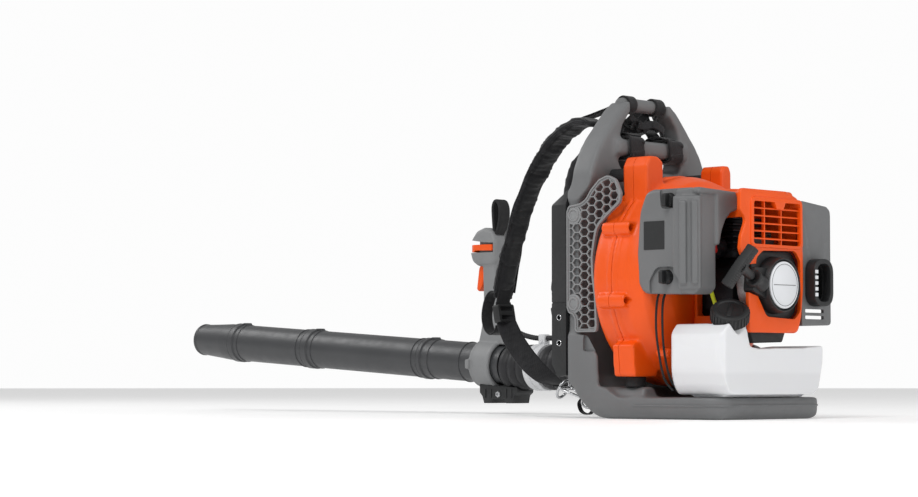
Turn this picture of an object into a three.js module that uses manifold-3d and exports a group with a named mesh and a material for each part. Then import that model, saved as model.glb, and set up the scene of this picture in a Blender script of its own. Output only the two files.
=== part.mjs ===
// Backpack leaf blower, one mesh per separate piece. Millimetres.
// +X is the wearer's right, +Y the wearer's forward direction, +Z up.
// The origin is on the ground, at the middle of the carrying frame's foot.
import * as THREE from "three";
import { mergeVertices } from "three/addons/utils/BufferGeometryUtils.js";
import Module from "manifold-3d";

const wasm = await Module();
wasm.setup();
const group = new THREE.Group();
group.name = "backpack_leaf_blower";

// ---- driving dimensions ----
const GAP = 0.35; // clearance between pieces that meet
const FRAME_HALF = 138; // half width of the carrying frame
const FRAME_TOP = 484; // top of the carry handle
const FRAME_FRONT = 124.6; // front of the frame, where the back plate sits
const ARCH_FRONT = 114;
const ARCH_REAR = 74;
const BASE_REAR = -158;
const BASE_HALF = 128;
const BASE_TOP = 32;
const PEDESTAL_TOP = 47; // raised pad under the left foot of the fan housing
const HANDLE_Y = 94; // centre of the carry handle bar
const HANDLE_Z = 473;
const HANDLE_R = 10.5;

const CRANK_Z = 194; // crankshaft, fan and starter share this line
const FAN_R = 128;
const SCROLL_Z = 204; // centre of the scroll's outer wall
const SCROLL_R = 156;
const SPLIT_Y = 20; // parting line of the two fan housing halves
const HOUSING_REAR = -52;
const HOUSING_FRONT = 62;
const DUCT_Y = 8; // outlet duct, square to the crankshaft
const DUCT_Z = 78;
const DUCT_R = 36;
const DUCT_WALL = 3;

const TUBE_X = 180; // blower tube runs forward at the wearer's right
const PITCH_Y = 500; // the tube tips about this point of the bellows
const PITCH_Z = 80;
const TUBE_RISE = 3.74; // degrees, the tube's upward slope at rest
const TUBE_R = 33.5;
const TUBE_WALL = 2.5;
const HOSE_R = 38;
const HOSE_START = 158;
const BAND_START = 441;
const BAND_END = 470;

const STRAP_X = 68; // middle of each shoulder pad
const PAD_WIDTH = 50;
const PAD_THICK = 13;
const LOOP_X = 46; // middle of the webbing that loops round the frame
const WEB_THICK = 3;

// ---- colours ----
const ORANGE = [0xe4571b, 0.45, 0];
const GREY = [0x7c7d7e, 0.6, 0];
const BLACK = [0x232425, 0.7, 0];
const DARK = [0x3a3b3d, 0.55, 0];
const FABRIC = [0x17181a, 0.95, 0];
const RUBBER = [0x1b1b1c, 0.9, 0];
const STEEL = [0xb9bbbd, 0.3, 1];
const CASTING = [0x9a9c9e, 0.5, 0.8];
const TANK = [0xe9e8e2, 0.4, 0];
const PAPER = [0xd8c9a0, 0.95, 0];
const YELLOW = [0xc9cf2b, 0.5, 0];
const RED = [0xc8201c, 0.5, 0];

// ---- helpers ----
const rad = (d) => (d * Math.PI) / 180;
const vec = (p) => new THREE.Vector3(...p);

// A closed manifold solid from any three.js geometry.
function solid(geometry) {
  const g = geometry.clone();
  g.deleteAttribute("normal");
  g.deleteAttribute("uv");
  const m = mergeVertices(g, 1e-3);
  return new wasm.Manifold(new wasm.Mesh({
    numProp: 3,
    vertProperties: new Float32Array(m.attributes.position.array),
    triVerts: new Uint32Array(m.index.array),
  }));
}

const join = (...s) => s.reduce((a, b) => a.add(b));
const cut = (a, ...s) => s.reduce((x, b) => x.subtract(b), a);

// Outline extruded along an axis, from a to b. X: points (y,z). Y: points (x,z). Z: points (x,y).
function prism(axis, points, a, b, holes = []) {
  const shape = new THREE.Shape(points.map((p) => new THREE.Vector2(...p)));
  for (const hole of holes) shape.holes.push(new THREE.Path(hole.map((p) => new THREE.Vector2(...p))));
  const g = new THREE.ExtrudeGeometry(shape, { depth: b - a, bevelEnabled: false });
  const basis = new THREE.Matrix4();
  if (axis === "X") basis.makeBasis(vec([0, 1, 0]), vec([0, 0, 1]), vec([1, 0, 0])).setPosition(a, 0, 0);
  if (axis === "Y") basis.makeBasis(vec([1, 0, 0]), vec([0, 0, 1]), vec([0, -1, 0])).setPosition(0, b, 0);
  if (axis === "Z") basis.setPosition(0, 0, a);
  return solid(g.applyMatrix4(basis));
}

const box = (x0, x1, y0, y1, z0, z1) => {
  const g = new THREE.BoxGeometry(x1 - x0, y1 - y0, z1 - z0);
  g.translate((x0 + x1) / 2, (y0 + y1) / 2, (z0 + z1) / 2);
  return solid(g);
};

// Profile of (radius, height) turned about a line through origin along dir.
function turned(points, origin, dir, segments = 24) {
  const g = new THREE.LatheGeometry(points.map((p) => new THREE.Vector2(...p)), segments);
  g.applyQuaternion(new THREE.Quaternion().setFromUnitVectors(vec([0, 1, 0]), vec(dir).normalize()));
  g.translate(...origin);
  return solid(g);
}

const rod = (r, origin, dir, length, segments = 16) =>
  turned([[0, 0], [r, 0], [r, length], [0, length]], origin, dir, segments);
const ring = (outer, inner, origin, dir, length, segments = 24) =>
  turned([[outer, 0], [outer, length], [inner, length], [inner, 0], [outer, 0]], origin, dir, segments);

// Rectangle with cut corners, as an outline for prism().
const chamfered = (a0, a1, b0, b1, c) => [
  [a0 + c, b0], [a1 - c, b0], [a1, b0 + c], [a1, b1 - c], [a1 - c, b1], [a0 + c, b1], [a0, b1 - c], [a0, b0 + c],
];

// Outline with its mirror image in the first coordinate, as one closed loop.
const mirrored = (half) => [...half, ...half.slice().reverse().filter((p) => p[0] !== 0).map(([x, y]) => [-x, y])];

const oval = (a, b, ra, rb, n) => Array.from({ length: n }, (_, i) => {
  const t = (2 * Math.PI * (i + 0.5)) / n;
  return [a + ra * Math.cos(t), b + rb * Math.sin(t)];
});

const circle = (a, b, r, n, start = 0) => Array.from({ length: n }, (_, i) => {
  const t = start + (2 * Math.PI * i) / n;
  return [a + r * Math.cos(t), b + r * Math.sin(t)];
});

// Flat band of a given thickness along a path in one plane, as an outline for prism().
function band(path, thick) {
  const curve = new THREE.CatmullRomCurve3(path.map(([a, b]) => new THREE.Vector3(a, b, 0)));
  const n = Math.max(10, path.length * 2);
  const left = [];
  const right = [];
  for (let i = 0; i <= n; i++) {
    const p = curve.getPointAt(i / n);
    const t = curve.getTangentAt(i / n);
    left.push([p.x - (t.y * thick) / 2, p.y + (t.x * thick) / 2]);
    right.push([p.x + (t.y * thick) / 2, p.y - (t.x * thick) / 2]);
  }
  return [...left, ...right.reverse()];
}

// Round section swept along a smooth path.
function cable(path, r, steps = 24, sides = 8) {
  const curve = new THREE.CatmullRomCurve3(path.map(vec));
  const section = new THREE.Shape(circle(0, 0, r, sides).map((p) => new THREE.Vector2(...p)));
  return solid(new THREE.ExtrudeGeometry(section, { steps, extrudePath: curve, bevelEnabled: false }));
}

function part(name, s, [color, roughness, metalness]) {
  const m = s.getMesh();
  const g = new THREE.BufferGeometry();
  g.setAttribute("position", new THREE.BufferAttribute(new Float32Array(m.vertProperties), 3));
  g.setIndex(new THREE.BufferAttribute(new Uint32Array(m.triVerts), 1));
  const flat = g.toNonIndexed();
  flat.computeVertexNormals();
  const mesh = new THREE.Mesh(flat, new THREE.MeshStandardMaterial({ color, roughness, metalness }));
  mesh.name = name;
  group.add(mesh);
}

const pair = (name, make, look) => {
  part(`${name}_left`, make(-1), look);
  part(`${name}_right`, make(1), look);
};
const span = (side, a, b) => (side < 0 ? [-b, -a] : [a, b]);

// Point and direction on the blower tube, s mm forward of the pitch centre.
const TUBE_DIR = [0, Math.cos(rad(TUBE_RISE)), Math.sin(rad(TUBE_RISE))];
const onTube = (s) => [TUBE_X, PITCH_Y + s * TUBE_DIR[1], PITCH_Z + s * TUBE_DIR[2]];

// ---- carrying frame and harness ----
function backFrame() {
  const profile = prism("X", [
    [BASE_REAR, 8], [BASE_REAR + 8, 0], [86, 0], [112, 45], [FRAME_FRONT, 56], [FRAME_FRONT, 338],
    [ARCH_FRONT, 350], [ARCH_FRONT, FRAME_TOP], [ARCH_REAR, FRAME_TOP], [ARCH_REAR, 348], [104, 326],
    [104, 60], [94, PEDESTAL_TOP], [50, PEDESTAL_TOP], [34, BASE_TOP], [BASE_REAR + 4, BASE_TOP],
    [BASE_REAR, BASE_TOP - 5],
  ], -FRAME_HALF, FRAME_HALF);
  const outline = prism("Y", mirrored([
    [FRAME_HALF, -1], [FRAME_HALF, 366], [122, 400], [107, 420], [87, 441], [66, 462], [40, FRAME_TOP - 3],
    [20, FRAME_TOP + 1],
  ]), BASE_REAR - 1, FRAME_FRONT + 1);
  const corner = 36;
  const foot = prism("Z", [
    [-FRAME_HALF, 30], [-BASE_HALF, 10], ...cornerArc(-BASE_HALF + corner, BASE_REAR + corner, corner, 180),
    ...cornerArc(BASE_HALF - corner, BASE_REAR + corner, corner, 270), [BASE_HALF, 10], [FRAME_HALF, 30],
    [FRAME_HALF, FRAME_FRONT + 1], [-FRAME_HALF, FRAME_FRONT + 1],
  ], -1, FRAME_TOP + 2);
  const walls = [-1, 1].map((side) => {
    const [a, b] = span(side, FRAME_HALF - 8, FRAME_HALF);
    return prism("X", [[66, 40], [110, 40], [110, 124], [66, 124]], a, b);
  });
  const crossbar = prism("X", chamfered(66, 98, 392, 418, 6), -84, 84);
  const pedestal = box(-BASE_HALF, -92, -10, 60, BASE_TOP - 5, PEDESTAL_TOP);
  const opening = prism("Y", mirrored([[66, 374], [72, 382], [72, 412], [63, 440], [46, 459]]), 60, 130);
  const grilleSeats = [-1, 1].map((side) => box(...span(side, FRAME_HALF - 5, FRAME_HALF + 1), 60, 123.4, 126.6, 324));
  const bar = prism("X", circle(HANDLE_Y, HANDLE_Z, HANDLE_R, 14), -52, 52);
  const barTrim = cut(box(-46, 46, 70, 120, 454, 490), prism("X", circle(HANDLE_Y, HANDLE_Z, HANDLE_R, 14), -50, 50));
  let body = cut(join(profile.intersect(outline).intersect(foot), ...walls, pedestal), opening, barTrim, ...grilleSeats);
  body = cut(body, box(-96, 96, 88, 105, 60, 310));
  return join(body, crossbar, bar);
}

function cornerArc(x, y, r, from) {
  return [0, 30, 60, 90].map((d) => [x + r * Math.cos(rad(from + d)), y + r * Math.sin(rad(from + d))]);
}

function backPlate() {
  const y0 = FRAME_FRONT + GAP;
  const plate = prism("X", [[y0, 64], [141, 62], [153, 80], [153, 318], [y0, 344]], -FRAME_HALF, FRAME_HALF);
  const rim = prism("Y", mirrored([[FRAME_HALF, 60], [FRAME_HALF, 318], [126, 346]]), y0 - 1, 154);
  const holes = [-1, 1].flatMap((side) => [112, 150].map((z) => rod(3.2, [side * (FRAME_HALF + 1), 139, z],
    [-side, 0, 0], 12, 12)));
  return cut(plate.intersect(rim), ...holes);
}

function backCushion() {
  const front = prism("Y", mirrored([[88, 92], [100, 106], [100, 330], [92, 372], [74, 404], [48, 422]]),
    153 + GAP, 180);
  const side = prism("X", [[153, 91], [172, 91], [180, 104], [180, 405], [170, 423], [153, 423]], -101, 101);
  return front.intersect(side);
}

// Pad over the shoulder plus the webbing that holds it to the frame's lower crossbar.
function shoulderStrap(side) {
  const spine = [[121, 440], [138, 447], [157, 446], [181, 437], [203, 423], [220, 406], [236, 388], [249, 369],
    [262, 346], [275, 322], [288, 289], [299, 256], [309, 219], [317, 181]];
  const pad = prism("X", band(spine, PAD_THICK), ...span(side, STRAP_X - PAD_WIDTH / 2, STRAP_X + PAD_WIDTH / 2));
  const loop = prism("X", chamfered(61.5, 102.5, 387.5, 422.5, 7), ...span(side, LOOP_X - 15, LOOP_X + 15),
    [chamfered(65, 99, 391, 419, 6).reverse()]);
  const link = prism("X", band([[100, 416], [108, 432], [123, 441]], WEB_THICK + 1), ...span(side, LOOP_X - 15, LOOP_X + 15));
  return join(pad, link, loop);
}

// Webbing that pulls the top of a pad towards the carry handle.
function lifterStrap(side) {
  const [a, b] = span(side, LOOP_X - 24, LOOP_X - 2);
  const loop = prism("X", circle(HANDLE_Y, HANDLE_Z, HANDLE_R + 3.5, 16), a, b,
    [circle(HANDLE_Y, HANDLE_Z, HANDLE_R + 0.5, 16).reverse()]);
  const tail = prism("X", band([[106, 475], [122, 469], [142, 462], [162, 458]], WEB_THICK), a, b);
  return join(loop, tail);
}

// Webbing from the end of a pad down to its buckle and hook.
function lowerStrap(side) {
  const [a, b] = span(side, STRAP_X - 14, STRAP_X + 14);
  const path = [[317, 174], [312, 152], [299, 126], [279, 101], [254, 78], [226, 60], [199, 49]];
  return prism("X", band(path, WEB_THICK), a, b);
}

function strapBuckle(side) {
  const [a, b] = span(side, STRAP_X - 18, STRAP_X + 18);
  return ladder(a, b).rotate([-11.5, 0, 0]).translate([0, 315, 160]);
}

// Two-bar webbing buckle round the origin, its webbing passing between the faces.
function ladder(a, b) {
  const shell = box(a, b, -6.5, 6.5, -14, 14);
  return cut(shell, box(a + 3.5, b - 3.5, -4.6, 4.6, -15, 15));
}

// Steel hook between a lower strap and the frame's foot.
function strapHook(side) {
  const x = side * STRAP_X;
  const eye = cable([[x - 12, 190, 46], [x - 13, 180, 41], [x - 5, 160, 33], [x, 140, 24.5], [x + 1, 120, 18]], 2.2, 8, 6);
  const back = cable([[x + 12, 190, 46], [x + 13, 180, 41], [x + 5, 160, 33], [x, 140, 24.5]], 2.2, 7, 6);
  const cross = rod(2.2, [x - 12.5, 189, 45.5], [1, 0, 0], 25, 6);
  return join(eye, back, cross);
}

// ---- anti-vibration mounts ----
const damperUpper = (side) => ring(10, 3, [side * 88, 40 + GAP, 361], [0, 1, 0], 33.3, 16);
const damperLower = (side) => (side < 0
  ? ring(15, 4, [-112, 12, PEDESTAL_TOP + GAP], [0, 0, 1], 14.3, 16)
  : ring(15, 4, [114, DUCT_Y, BASE_TOP + GAP], [0, 0, 1], 9.3, 16));

// ---- fan housing and rotating parts ----

// Outside of the scroll, grown by a margin.
const scroll = (grow) => turned([[0, HOUSING_REAR - grow], [104 + grow, HOUSING_REAR - grow], [142 + grow, -36 - grow],
  [SCROLL_R + grow, -8], [SCROLL_R + grow, 52], [148 + grow, HOUSING_FRONT + grow], [0, HOUSING_FRONT + grow]],
[0, 0, SCROLL_Z], [0, 1, 0], 32);

function fanHousing() {
  const shell = scroll(0);
  const hollow = turned([[0, -46], [102, -46], [137, -32], [SCROLL_R - 5, -6], [SCROLL_R - 5, 50], [145, 57], [0, 57]],
    [0, 0, SCROLL_Z], [0, 1, 0], 32);
  const towers = [
    prism("Y", [[-70, 300], [-70, 378], [-80, 386], [-98, 386], [-107, 372], [-106, 290]], -6, 40),
    prism("Y", [[76, 300], [100, 290], [100, 372], [95, 382], [81, 382], [76, 374]], -2, 40),
  ];
  const lugs = [-1, 1].flatMap((side) => [
    box(...span(side, 134, 154), -8, 44, 269, 287),
    box(...span(side, 146, 166), -4, 46, 163, 181),
  ]);
  const foot = prism("Y", [[-138, 62], [-86, 62], [-84, 110], [-120, 120], [-142, 108]], -8, 32);
  const pad = box(98, 130, -8, 24, BASE_TOP + 10, 64);
  const duct = rod(DUCT_R, [60, DUCT_Y, DUCT_Z], [1, 0, 0], 74, 28);
  const bore = rod(DUCT_R - DUCT_WALL, [56, DUCT_Y, DUCT_Z], [1, 0, 0], 90, 28);
  const eye = rod(72, [0, 50, CRANK_Z], [0, 1, 0], 20, 32);
  const hub = rod(15, [0, HOUSING_REAR - 1, CRANK_Z], [0, 1, 0], 20, 16);
  return cut(join(shell, ...towers, ...lugs, foot, duct, pad), hollow, bore, eye, hub);
}
const housing = fanHousing();
const housingFront = () => housing.intersect(box(-200, 200, SPLIT_Y + GAP / 2, 100, 0, 420));
const housingRear = () => housing.intersect(box(-200, 200, -100, SPLIT_Y - GAP / 2, 0, 420));

function impeller() {
  const blades = 10;
  const disc = turned([[9, -27], [FAN_R, -24], [FAN_R, -21], [26, -21], [20, 20], [9, 24], [9, -27]],
    [0, 0, CRANK_Z], [0, 1, 0], 30);
  const fins = Array.from({ length: blades }, (_, i) => {
    const g = new THREE.BoxGeometry(FAN_R - 22, 64, 3);
    g.rotateY(0.35).translate((FAN_R + 14) / 2, 9, 0).rotateY((2 * Math.PI * i) / blades).translate(0, 0, CRANK_Z);
    return solid(g);
  });
  return join(disc, ...fins);
}

const crankshaft = () => turned([[0, -146], [6, -146], [6, -116], [8.6, -116], [8.6, -98], [26, -98], [26, -76],
  [8.6, -76], [8.6, 22], [0, 22]], [0, 0, CRANK_Z], [0, 1, 0], 20);

const flywheel = () => join(
  turned([[6.4, -136], [42, -136], [42, -120], [6.4, -118], [6.4, -136]], [0, 0, CRANK_Z], [0, 1, 0], 28),
  box(12, 30, -140, -134, CRANK_Z - 6, CRANK_Z + 6),
);

// ---- engine ----
function crankcase() {
  const block = prism("Y", chamfered(-42, 42, 146, 234, 14), -113, -53);
  return cut(block, rod(29, [0, -101, CRANK_Z], [0, 1, 0], 28, 24), rod(9.4, [0, -120, CRANK_Z], [0, 1, 0], 80, 16),
    rod(20, [0, -87, 210], [0, 0, 1], 30, 20));
}

function cylinder() {
  const barrel = rod(26, [0, -87, 234 + GAP], [0, 0, 1], 64, 20);
  const fins = Array.from({ length: 6 }, (_, i) => box(-40, 36, -113, -61, 246 + i * 9, 248.6 + i * 9));
  const head = box(-16, 16, -100, -74, 290, 302);
  return cut(join(barrel, ...fins, head), rod(20, [0, -87, 232], [0, 0, 1], 60, 20));
}

const sparkPlug = () => turned([[0, 0], [8, 0], [8, 5], [5, 7], [5, 15], [7.5, 15], [7.5, 22], [0, 22]],
  [0, -87, 302 + GAP], [0, 0, 1], 12);

const ignitionCoil = () => prism("Y", [[-24, 238], [-14, 238], [-14, 246], [14, 246], [14, 238], [24, 238], [24, 262],
  [-24, 262]], -138, -118);

function carburetor() {
  const body = prism("X", chamfered(-104, -74, 232, 266, 6), -97 + GAP, -58);
  const inlet = rod(15, [-58.5, -89, 250], [1, 0, 0], 16, 16);
  const bowl = rod(12, [-76, -89, 222], [0, 0, 1], 12, 14);
  return cut(join(body, inlet, bowl), rod(9, [-100, -89, 250], [1, 0, 0], 70, 14));
}

const chokeLever = () => join(
  rod(4, [-80, -104 - GAP, 244], [0, -1, 0], 8, 10),
  box(-83, -77, -112, -108, 240, 264),
);

// ---- air filter ----
const FILTER_RIGHT = -100;
function filterBase() {
  const plate = prism("X", [[-124, 200], [-57, 200], [-57, 318], [-124, 318]], FILTER_RIGHT, FILTER_RIGHT + 3);
  return cut(plate, rod(9, [-110, -89, 250], [1, 0, 0], 20, 14));
}

function filterElement() {
  const x1 = FILTER_RIGHT - GAP;
  return cut(prism("X", chamfered(-116, -60, 210, 312, 8), -132, x1),
    prism("X", chamfered(-104, -72, 224, 300, 6), -122, x1 + 1));
}

function filterCover() {
  const x1 = FILTER_RIGHT - GAP;
  const outer = prism("X", [[-131, 196], [-122, 187], [-30, 187], [-22, 200], [-21, 240], [-26, 300], [-38, 327],
    [-50, 331], [-120, 331], [-131, 322]], -150, x1);
  const inner = prism("X", [[-126, 200], [-118, 192], [-34, 192], [-27, 204], [-26, 240], [-31, 298], [-42, 322],
    [-52, 326], [-116, 326], [-126, 318]], -145, x1 + 1);
  const top = prism("Y", [[-146, 322], [-146, 331], [-62, 327], [-54, 318], [-54, 303], [-72, 297], [-84, 286], [-93, 270],
    [-98, 250], [-104, 250], [-104, 322]], -134, -126);
  const lip = prism("X", [[-134, 322], [-60, 322], [-60, 328], [-134, 328]], -103, -60);
  const cornerWall = prism("Z", [[-147, -104], [-131, -136], [-160, -136], [-160, -104]], 180, 340);
  const cornerCut = prism("Z", [[-151, -106], [-137, -135], [-151, -135]], 180, 340);
  const shell = cut(join(outer, top), cut(inner, scroll(4.5), cornerWall));
  return cut(join(shell, lip), cornerCut, scroll(1), knobHole(KNOB_TOP), knobHole(KNOB_LOW));
}
const KNOB_TOP = [-82, 314];
const KNOB_LOW = [-76, 204];
const knobHole = ([y, z]) => rod(10.6, [-160, y, z], [1, 0, 0], 30, 16);

function coverKnob([y, z]) {
  const stem = rod(10, [-152, y, z], [1, 0, 0], 18, 16);
  const wing = box(-162, -151, y - 3, y + 3, z - 11, z + 11);
  return join(stem, wing);
}

// ---- exhaust ----
function muffler() {
  const body = prism("Y", chamfered(70, 122, 176, 286, 10), -136, -66);
  const stub = box(40, 72, -104, -70, 254, 272);
  return cut(join(body, stub), prism("Y", chamfered(78, 104, 184, 214, 6), -140, -120));
}

function mufflerCover() {
  const outline = [[62, 141], [137, 143], [141, 161], [149, 235], [149, 255], [133, 308], [124, 314], [62, 320]];
  const hollow = [[60, 146], [132, 148], [136, 163], [144, 235], [144, 253], [129, 303], [122, 309], [60, 315]];
  const outer = prism("Y", outline, -160, -58).intersect(prism("Z", [[61.5, -160], [134, -160], [150, -146], [150, -57],
    [61.5, -57]], 130, 330));
  const inner = prism("Y", hollow, -155, -57).intersect(prism("Z", [[60, -155], [131, -155], [145, -143], [145, -56],
    [60, -56]], 130, 330));
  const vents = [150, 160].map((z) => box(70, 116, -165, -150, z, z + 5));
  return cut(outer, inner, prism("Y", oval(93, 200, 19, 30, 20), -165, -150), ...vents);
}

// Oval outlet that stands out of the cover, with a slotted inner wall.
function exhaustOutlet() {
  const flange = prism("Y", oval(93, 200, 25, 35, 20), -178, -160 - GAP, [oval(93, 200, 18, 28, 20).reverse()]);
  const tube = prism("Y", oval(93, 200, 18.2, 29.2, 20), -164, -136 - GAP, [oval(93, 200, 15, 26, 20).reverse()]);
  const ladderWall = box(77, 80, -176, -150, 187, 213);
  const slots = Array.from({ length: 5 }, (_, i) => box(70, 82, -172, -164, 181 + i * 8.6, 186 + i * 8.6));
  return join(cut(flange, ...slots), tube, cut(ladderWall, ...slots));
}

// ---- engine cover and starter ----
const STARTER_R = 46;
function engineCover() {
  const face = [[-60, 128], [46, 128], [56, 150], [61, 190], [61, 240], [57, 300], [50, 322], [30, 329], [-50, 331],
    [-90, 331], [-90, 300], [-76, 286], [-90, 250], [-86, 236], [-64, 186]];
  const wrap = [[-50, 128], [46, 128], [56, 150], [61, 190], [61, 240], [57, 300], [50, 322], [30, 329], [-50, 331]];
  const inside = [[-46, 120], [43, 120], [52, 152], [57, 190], [57, 240], [53, 298], [46, 319], [28, 325], [-46, 327]];
  const shell = join(prism("Y", face, -165, -160), prism("Y", wrap, -165, HOUSING_REAR - GAP));
  const window = prism("Y", [[-62, 252], [51, 252], [50, 314], [14, 314], [9, 304], [-7, 304], [-12, 314], [-60, 314]], -170, -150);
  const louvres = [260, 271, 282, 293, 304].map((z) => box(-64, 54, -162, -158.5, z, z + 2.2));
  const bars = [-32, 8].map((x) => box(x, x + 2.2, -162, -158.5, 250, 316));
  const starter = rod(STARTER_R + 1, [-2, -175, CRANK_Z], [0, 1, 0], 36, 28);
  const guide = prism("Y", [[-68, 182], [-30, 172], [-30, 220], [-70, 220], [-84, 214], [-84, 190]], -178, -140);
  const intake = box(-55, -44, -112, -66, 226, 272);
  const low = box(-60, 70, -150, -50, 100, 133);
  const exhaust = box(50, 70, -110, -64, 248, 278);
  return join(cut(shell, prism("Y", inside, -160, -40), window, starter, guide, intake, exhaust, low), ...louvres, ...bars);
}

function starterHousing() {
  const r = STARTER_R;
  const cup = turned([[0, -176], [r - 8, -175], [r, -167], [r, -143], [r - 4, -143], [r - 4, -164], [r - 10, -171],
    [0, -171]], [-2, 0, CRANK_Z], [0, 1, 0], 28);
  const arm = prism("Y", [[-66, 184], [-40, 176], [-40, 216], [-62, 216]], -175, -152);
  const horn = rod(11, pullPoint(-18), PULL_DIR, 24, 14);
  const bore = rod(4.5, pullPoint(-36), PULL_DIR, 74, 10);
  return cut(join(cup, cut(arm, rod(STARTER_R - 4, [-2, -172, CRANK_Z], [0, 1, 0], 28, 28)), horn), bore);
}
const PULL_DIR = [-0.92, -0.14, 0.36];
const pullPoint = (t) => {
  const d = vec(PULL_DIR).normalize();
  return [-64 + d.x * t, -169.5 + d.y * t, 201 + d.z * t];
};

const starterPulley = () => turned([[6.6, -160], [26, -160], [26, -158.6], [21, -157], [21, -153], [26, -151.4], [26, -150],
  [6.6, -148.5], [6.6, -160]], [0, 0, CRANK_Z], [0, 1, 0], 24);

function starterHandle() {
  const d = vec(PULL_DIR).normalize();
  const across = vec([0.47, -0.41, 0.78]);
  across.addScaledVector(d, -across.dot(d)).normalize();
  const centre = vec(pullPoint(46));
  const start = centre.clone().addScaledVector(across, -34);
  const bar = turned([[0, 0], [7, 2], [9, 14], [8.4, 34], [9, 54], [7, 66], [0, 68]], start.toArray(), across.toArray(), 12);
  const stem = rod(6, pullPoint(10), d.toArray(), 34, 12);
  return cut(join(bar, stem), rod(2.6, pullPoint(6), d.toArray(), 30, 8));
}

// Rope from the pulley, through the guide, to its knot inside the handle.
function starterRope() {
  const wind = turned([[21.3, -156.6], [24.5, -156.6], [24.5, -153.4], [21.3, -153.4], [21.3, -156.6]], [0, 0, CRANK_Z],
    [0, 1, 0], 24);
  const run = cable([[-8.3, -155, 172.8], [-27, -155.6, 181.5], pullPoint(-22), pullPoint(0), pullPoint(34)], 1.7, 14, 6);
  return join(wind, run);
}

// ---- fuel ----
const CAP_DIR = [-0.433, -0.415, 0.8];
const CAP_BASE = [-90, -144, 140];
function fuelTank() {
  const main = prism("Y", [[-132, 52], [-124, 40], [84, 40], [96, 48], [112, 108], [62, 104], [-50, 102], [-62, 106], [-68, 134],
    [-122, 138], [-133, 128], [-137, 90], [-136, 60]], -166, -70);
  const trim = prism("Z", [[-140, -152], [-128, -167], [104, -167], [113, -156], [113, -69], [-130, -69], [-140, -80]], 30, 140);
  const foot = box(-110, 80, -150, -90, BASE_TOP + GAP, 44);
  const neck = rod(19, CAP_BASE, CAP_DIR.map((v) => -v), 26, 20);
  const d = vec(CAP_DIR).normalize();
  const shoulder = rod(34, vec(CAP_BASE).addScaledVector(d, -5).toArray(), CAP_DIR, 60, 24);
  return join(cut(main.intersect(trim), shoulder), foot, neck);
}

function fuelCap() {
  return turned([[0, GAP], [24, GAP], [28.5, 4], [28.5, 20], [26, 23], [0, 23]], CAP_BASE, CAP_DIR, 24);
}

const fuelLine = () => cable([[-73, -113, 135.8], [-74, -113, 142], [-80, -112, 162], [-84, -106, 186], [-78, -94, 208], [-76, -92, 214], [-76, -92, 220.6]],
  3, 20, 8);

// ---- intake grilles ----
function intakeGrille(side) {
  const [a, b] = span(side, FRAME_HALF - 4, FRAME_HALF - 0.5);
  const outline = [[123, 310], [123, 127], [67, 127], [74, 219], [68, 262], [50, 301], [22, 332], [20, 357], [46, 355],
    [72, 337], [84, 322]];
  const pitch = 20;
  const inside = new THREE.Shape(outline.map((p) => new THREE.Vector2(...p)));
  const edge = inside.getPoints();
  const holes = [];
  for (let row = 0; row < 16; row++) {
    for (let col = 0; col < 8; col++) {
      const y = 118 - 13 - col * pitch - (row % 2 ? pitch / 2 : 0) + 4;
      const z = 141 + row * pitch * 0.866;
      if (insideBy(edge, y, z, 11)) holes.push(prism("X", circle(y, z, 9, 6, Math.PI / 6), a - 1, b + 1));
    }
  }
  return cut(prism("X", outline, a, b), ...holes);
}

// True when (y, z) is inside the closed outline and at least `margin` from its edges.
function insideBy(edge, y, z, margin) {
  let inside = false;
  for (let i = 0, j = edge.length - 1; i < edge.length; j = i++) {
    const p = edge[i];
    const q = edge[j];
    const line = new THREE.Line3(new THREE.Vector3(p.x, p.y, 0), new THREE.Vector3(q.x, q.y, 0));
    const at = new THREE.Vector3(y, z, 0);
    if (line.closestPointToPoint(at, true, new THREE.Vector3()).distanceTo(at) < margin) return false;
    if ((p.y > z) !== (q.y > z) && y < ((q.x - p.x) * (z - p.y)) / (q.y - p.y) + p.x) inside = !inside;
  }
  return inside;
}

// ---- hose, tubes and control handle ----
function elbowPath() {
  const bend = TUBE_X - 135;
  const arc = [18, 36, 54, 72].map((d) => [135 + bend * Math.sin(rad(d)), DUCT_Y + bend * (1 - Math.cos(rad(d))), DUCT_Z]);
  return [[134 + GAP, DUCT_Y, DUCT_Z], [137, DUCT_Y, DUCT_Z], ...arc, [TUBE_X, DUCT_Y + bend, DUCT_Z], [TUBE_X, 100, DUCT_Z],
    [TUBE_X, HOSE_START, DUCT_Z]];
}

function outletElbow() {
  const path = elbowPath();
  const ext = [[128, DUCT_Y, DUCT_Z], ...path, [TUBE_X, HOSE_START + 6, DUCT_Z]];
  const outer = cable(path, DUCT_R - 1, 14, 18);
  const inner = cable(ext, DUCT_R - 4, 16, 18);
  const flange = ring(DUCT_R + 3, DUCT_R - 5, [134 + GAP, DUCT_Y, DUCT_Z], [1, 0, 0], 5, 24);
  return cut(join(outer, flange), inner);
}

// Corrugated hose wall between two heights on a straight line, as a profile for turned().
function bellows(from, to, pitch) {
  const count = Math.round((to - from) / pitch);
  const step = (to - from) / count;
  const outer = [];
  for (let i = 0; i < count; i++) {
    outer.push([HOSE_R - 4, from + i * step], [HOSE_R, from + (i + 0.5) * step]);
  }
  return [...outer, [HOSE_R - 4, to], [HOSE_R - 6, to], [HOSE_R - 6, from], outer[0]];
}

const hoseRear = () => turned(bellows(HOSE_START + GAP, BAND_START - GAP, 22), [TUBE_X, 0, DUCT_Z], [0, 1, 0], 18);
function hoseFront() {
  const length = onTube(30)[1] - BAND_END - GAP;
  return turned(bellows(0, length - 2, 11), [TUBE_X, BAND_END + 1 + GAP, DUCT_Z], [0, 1, 0.02], 18);
}

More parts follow.
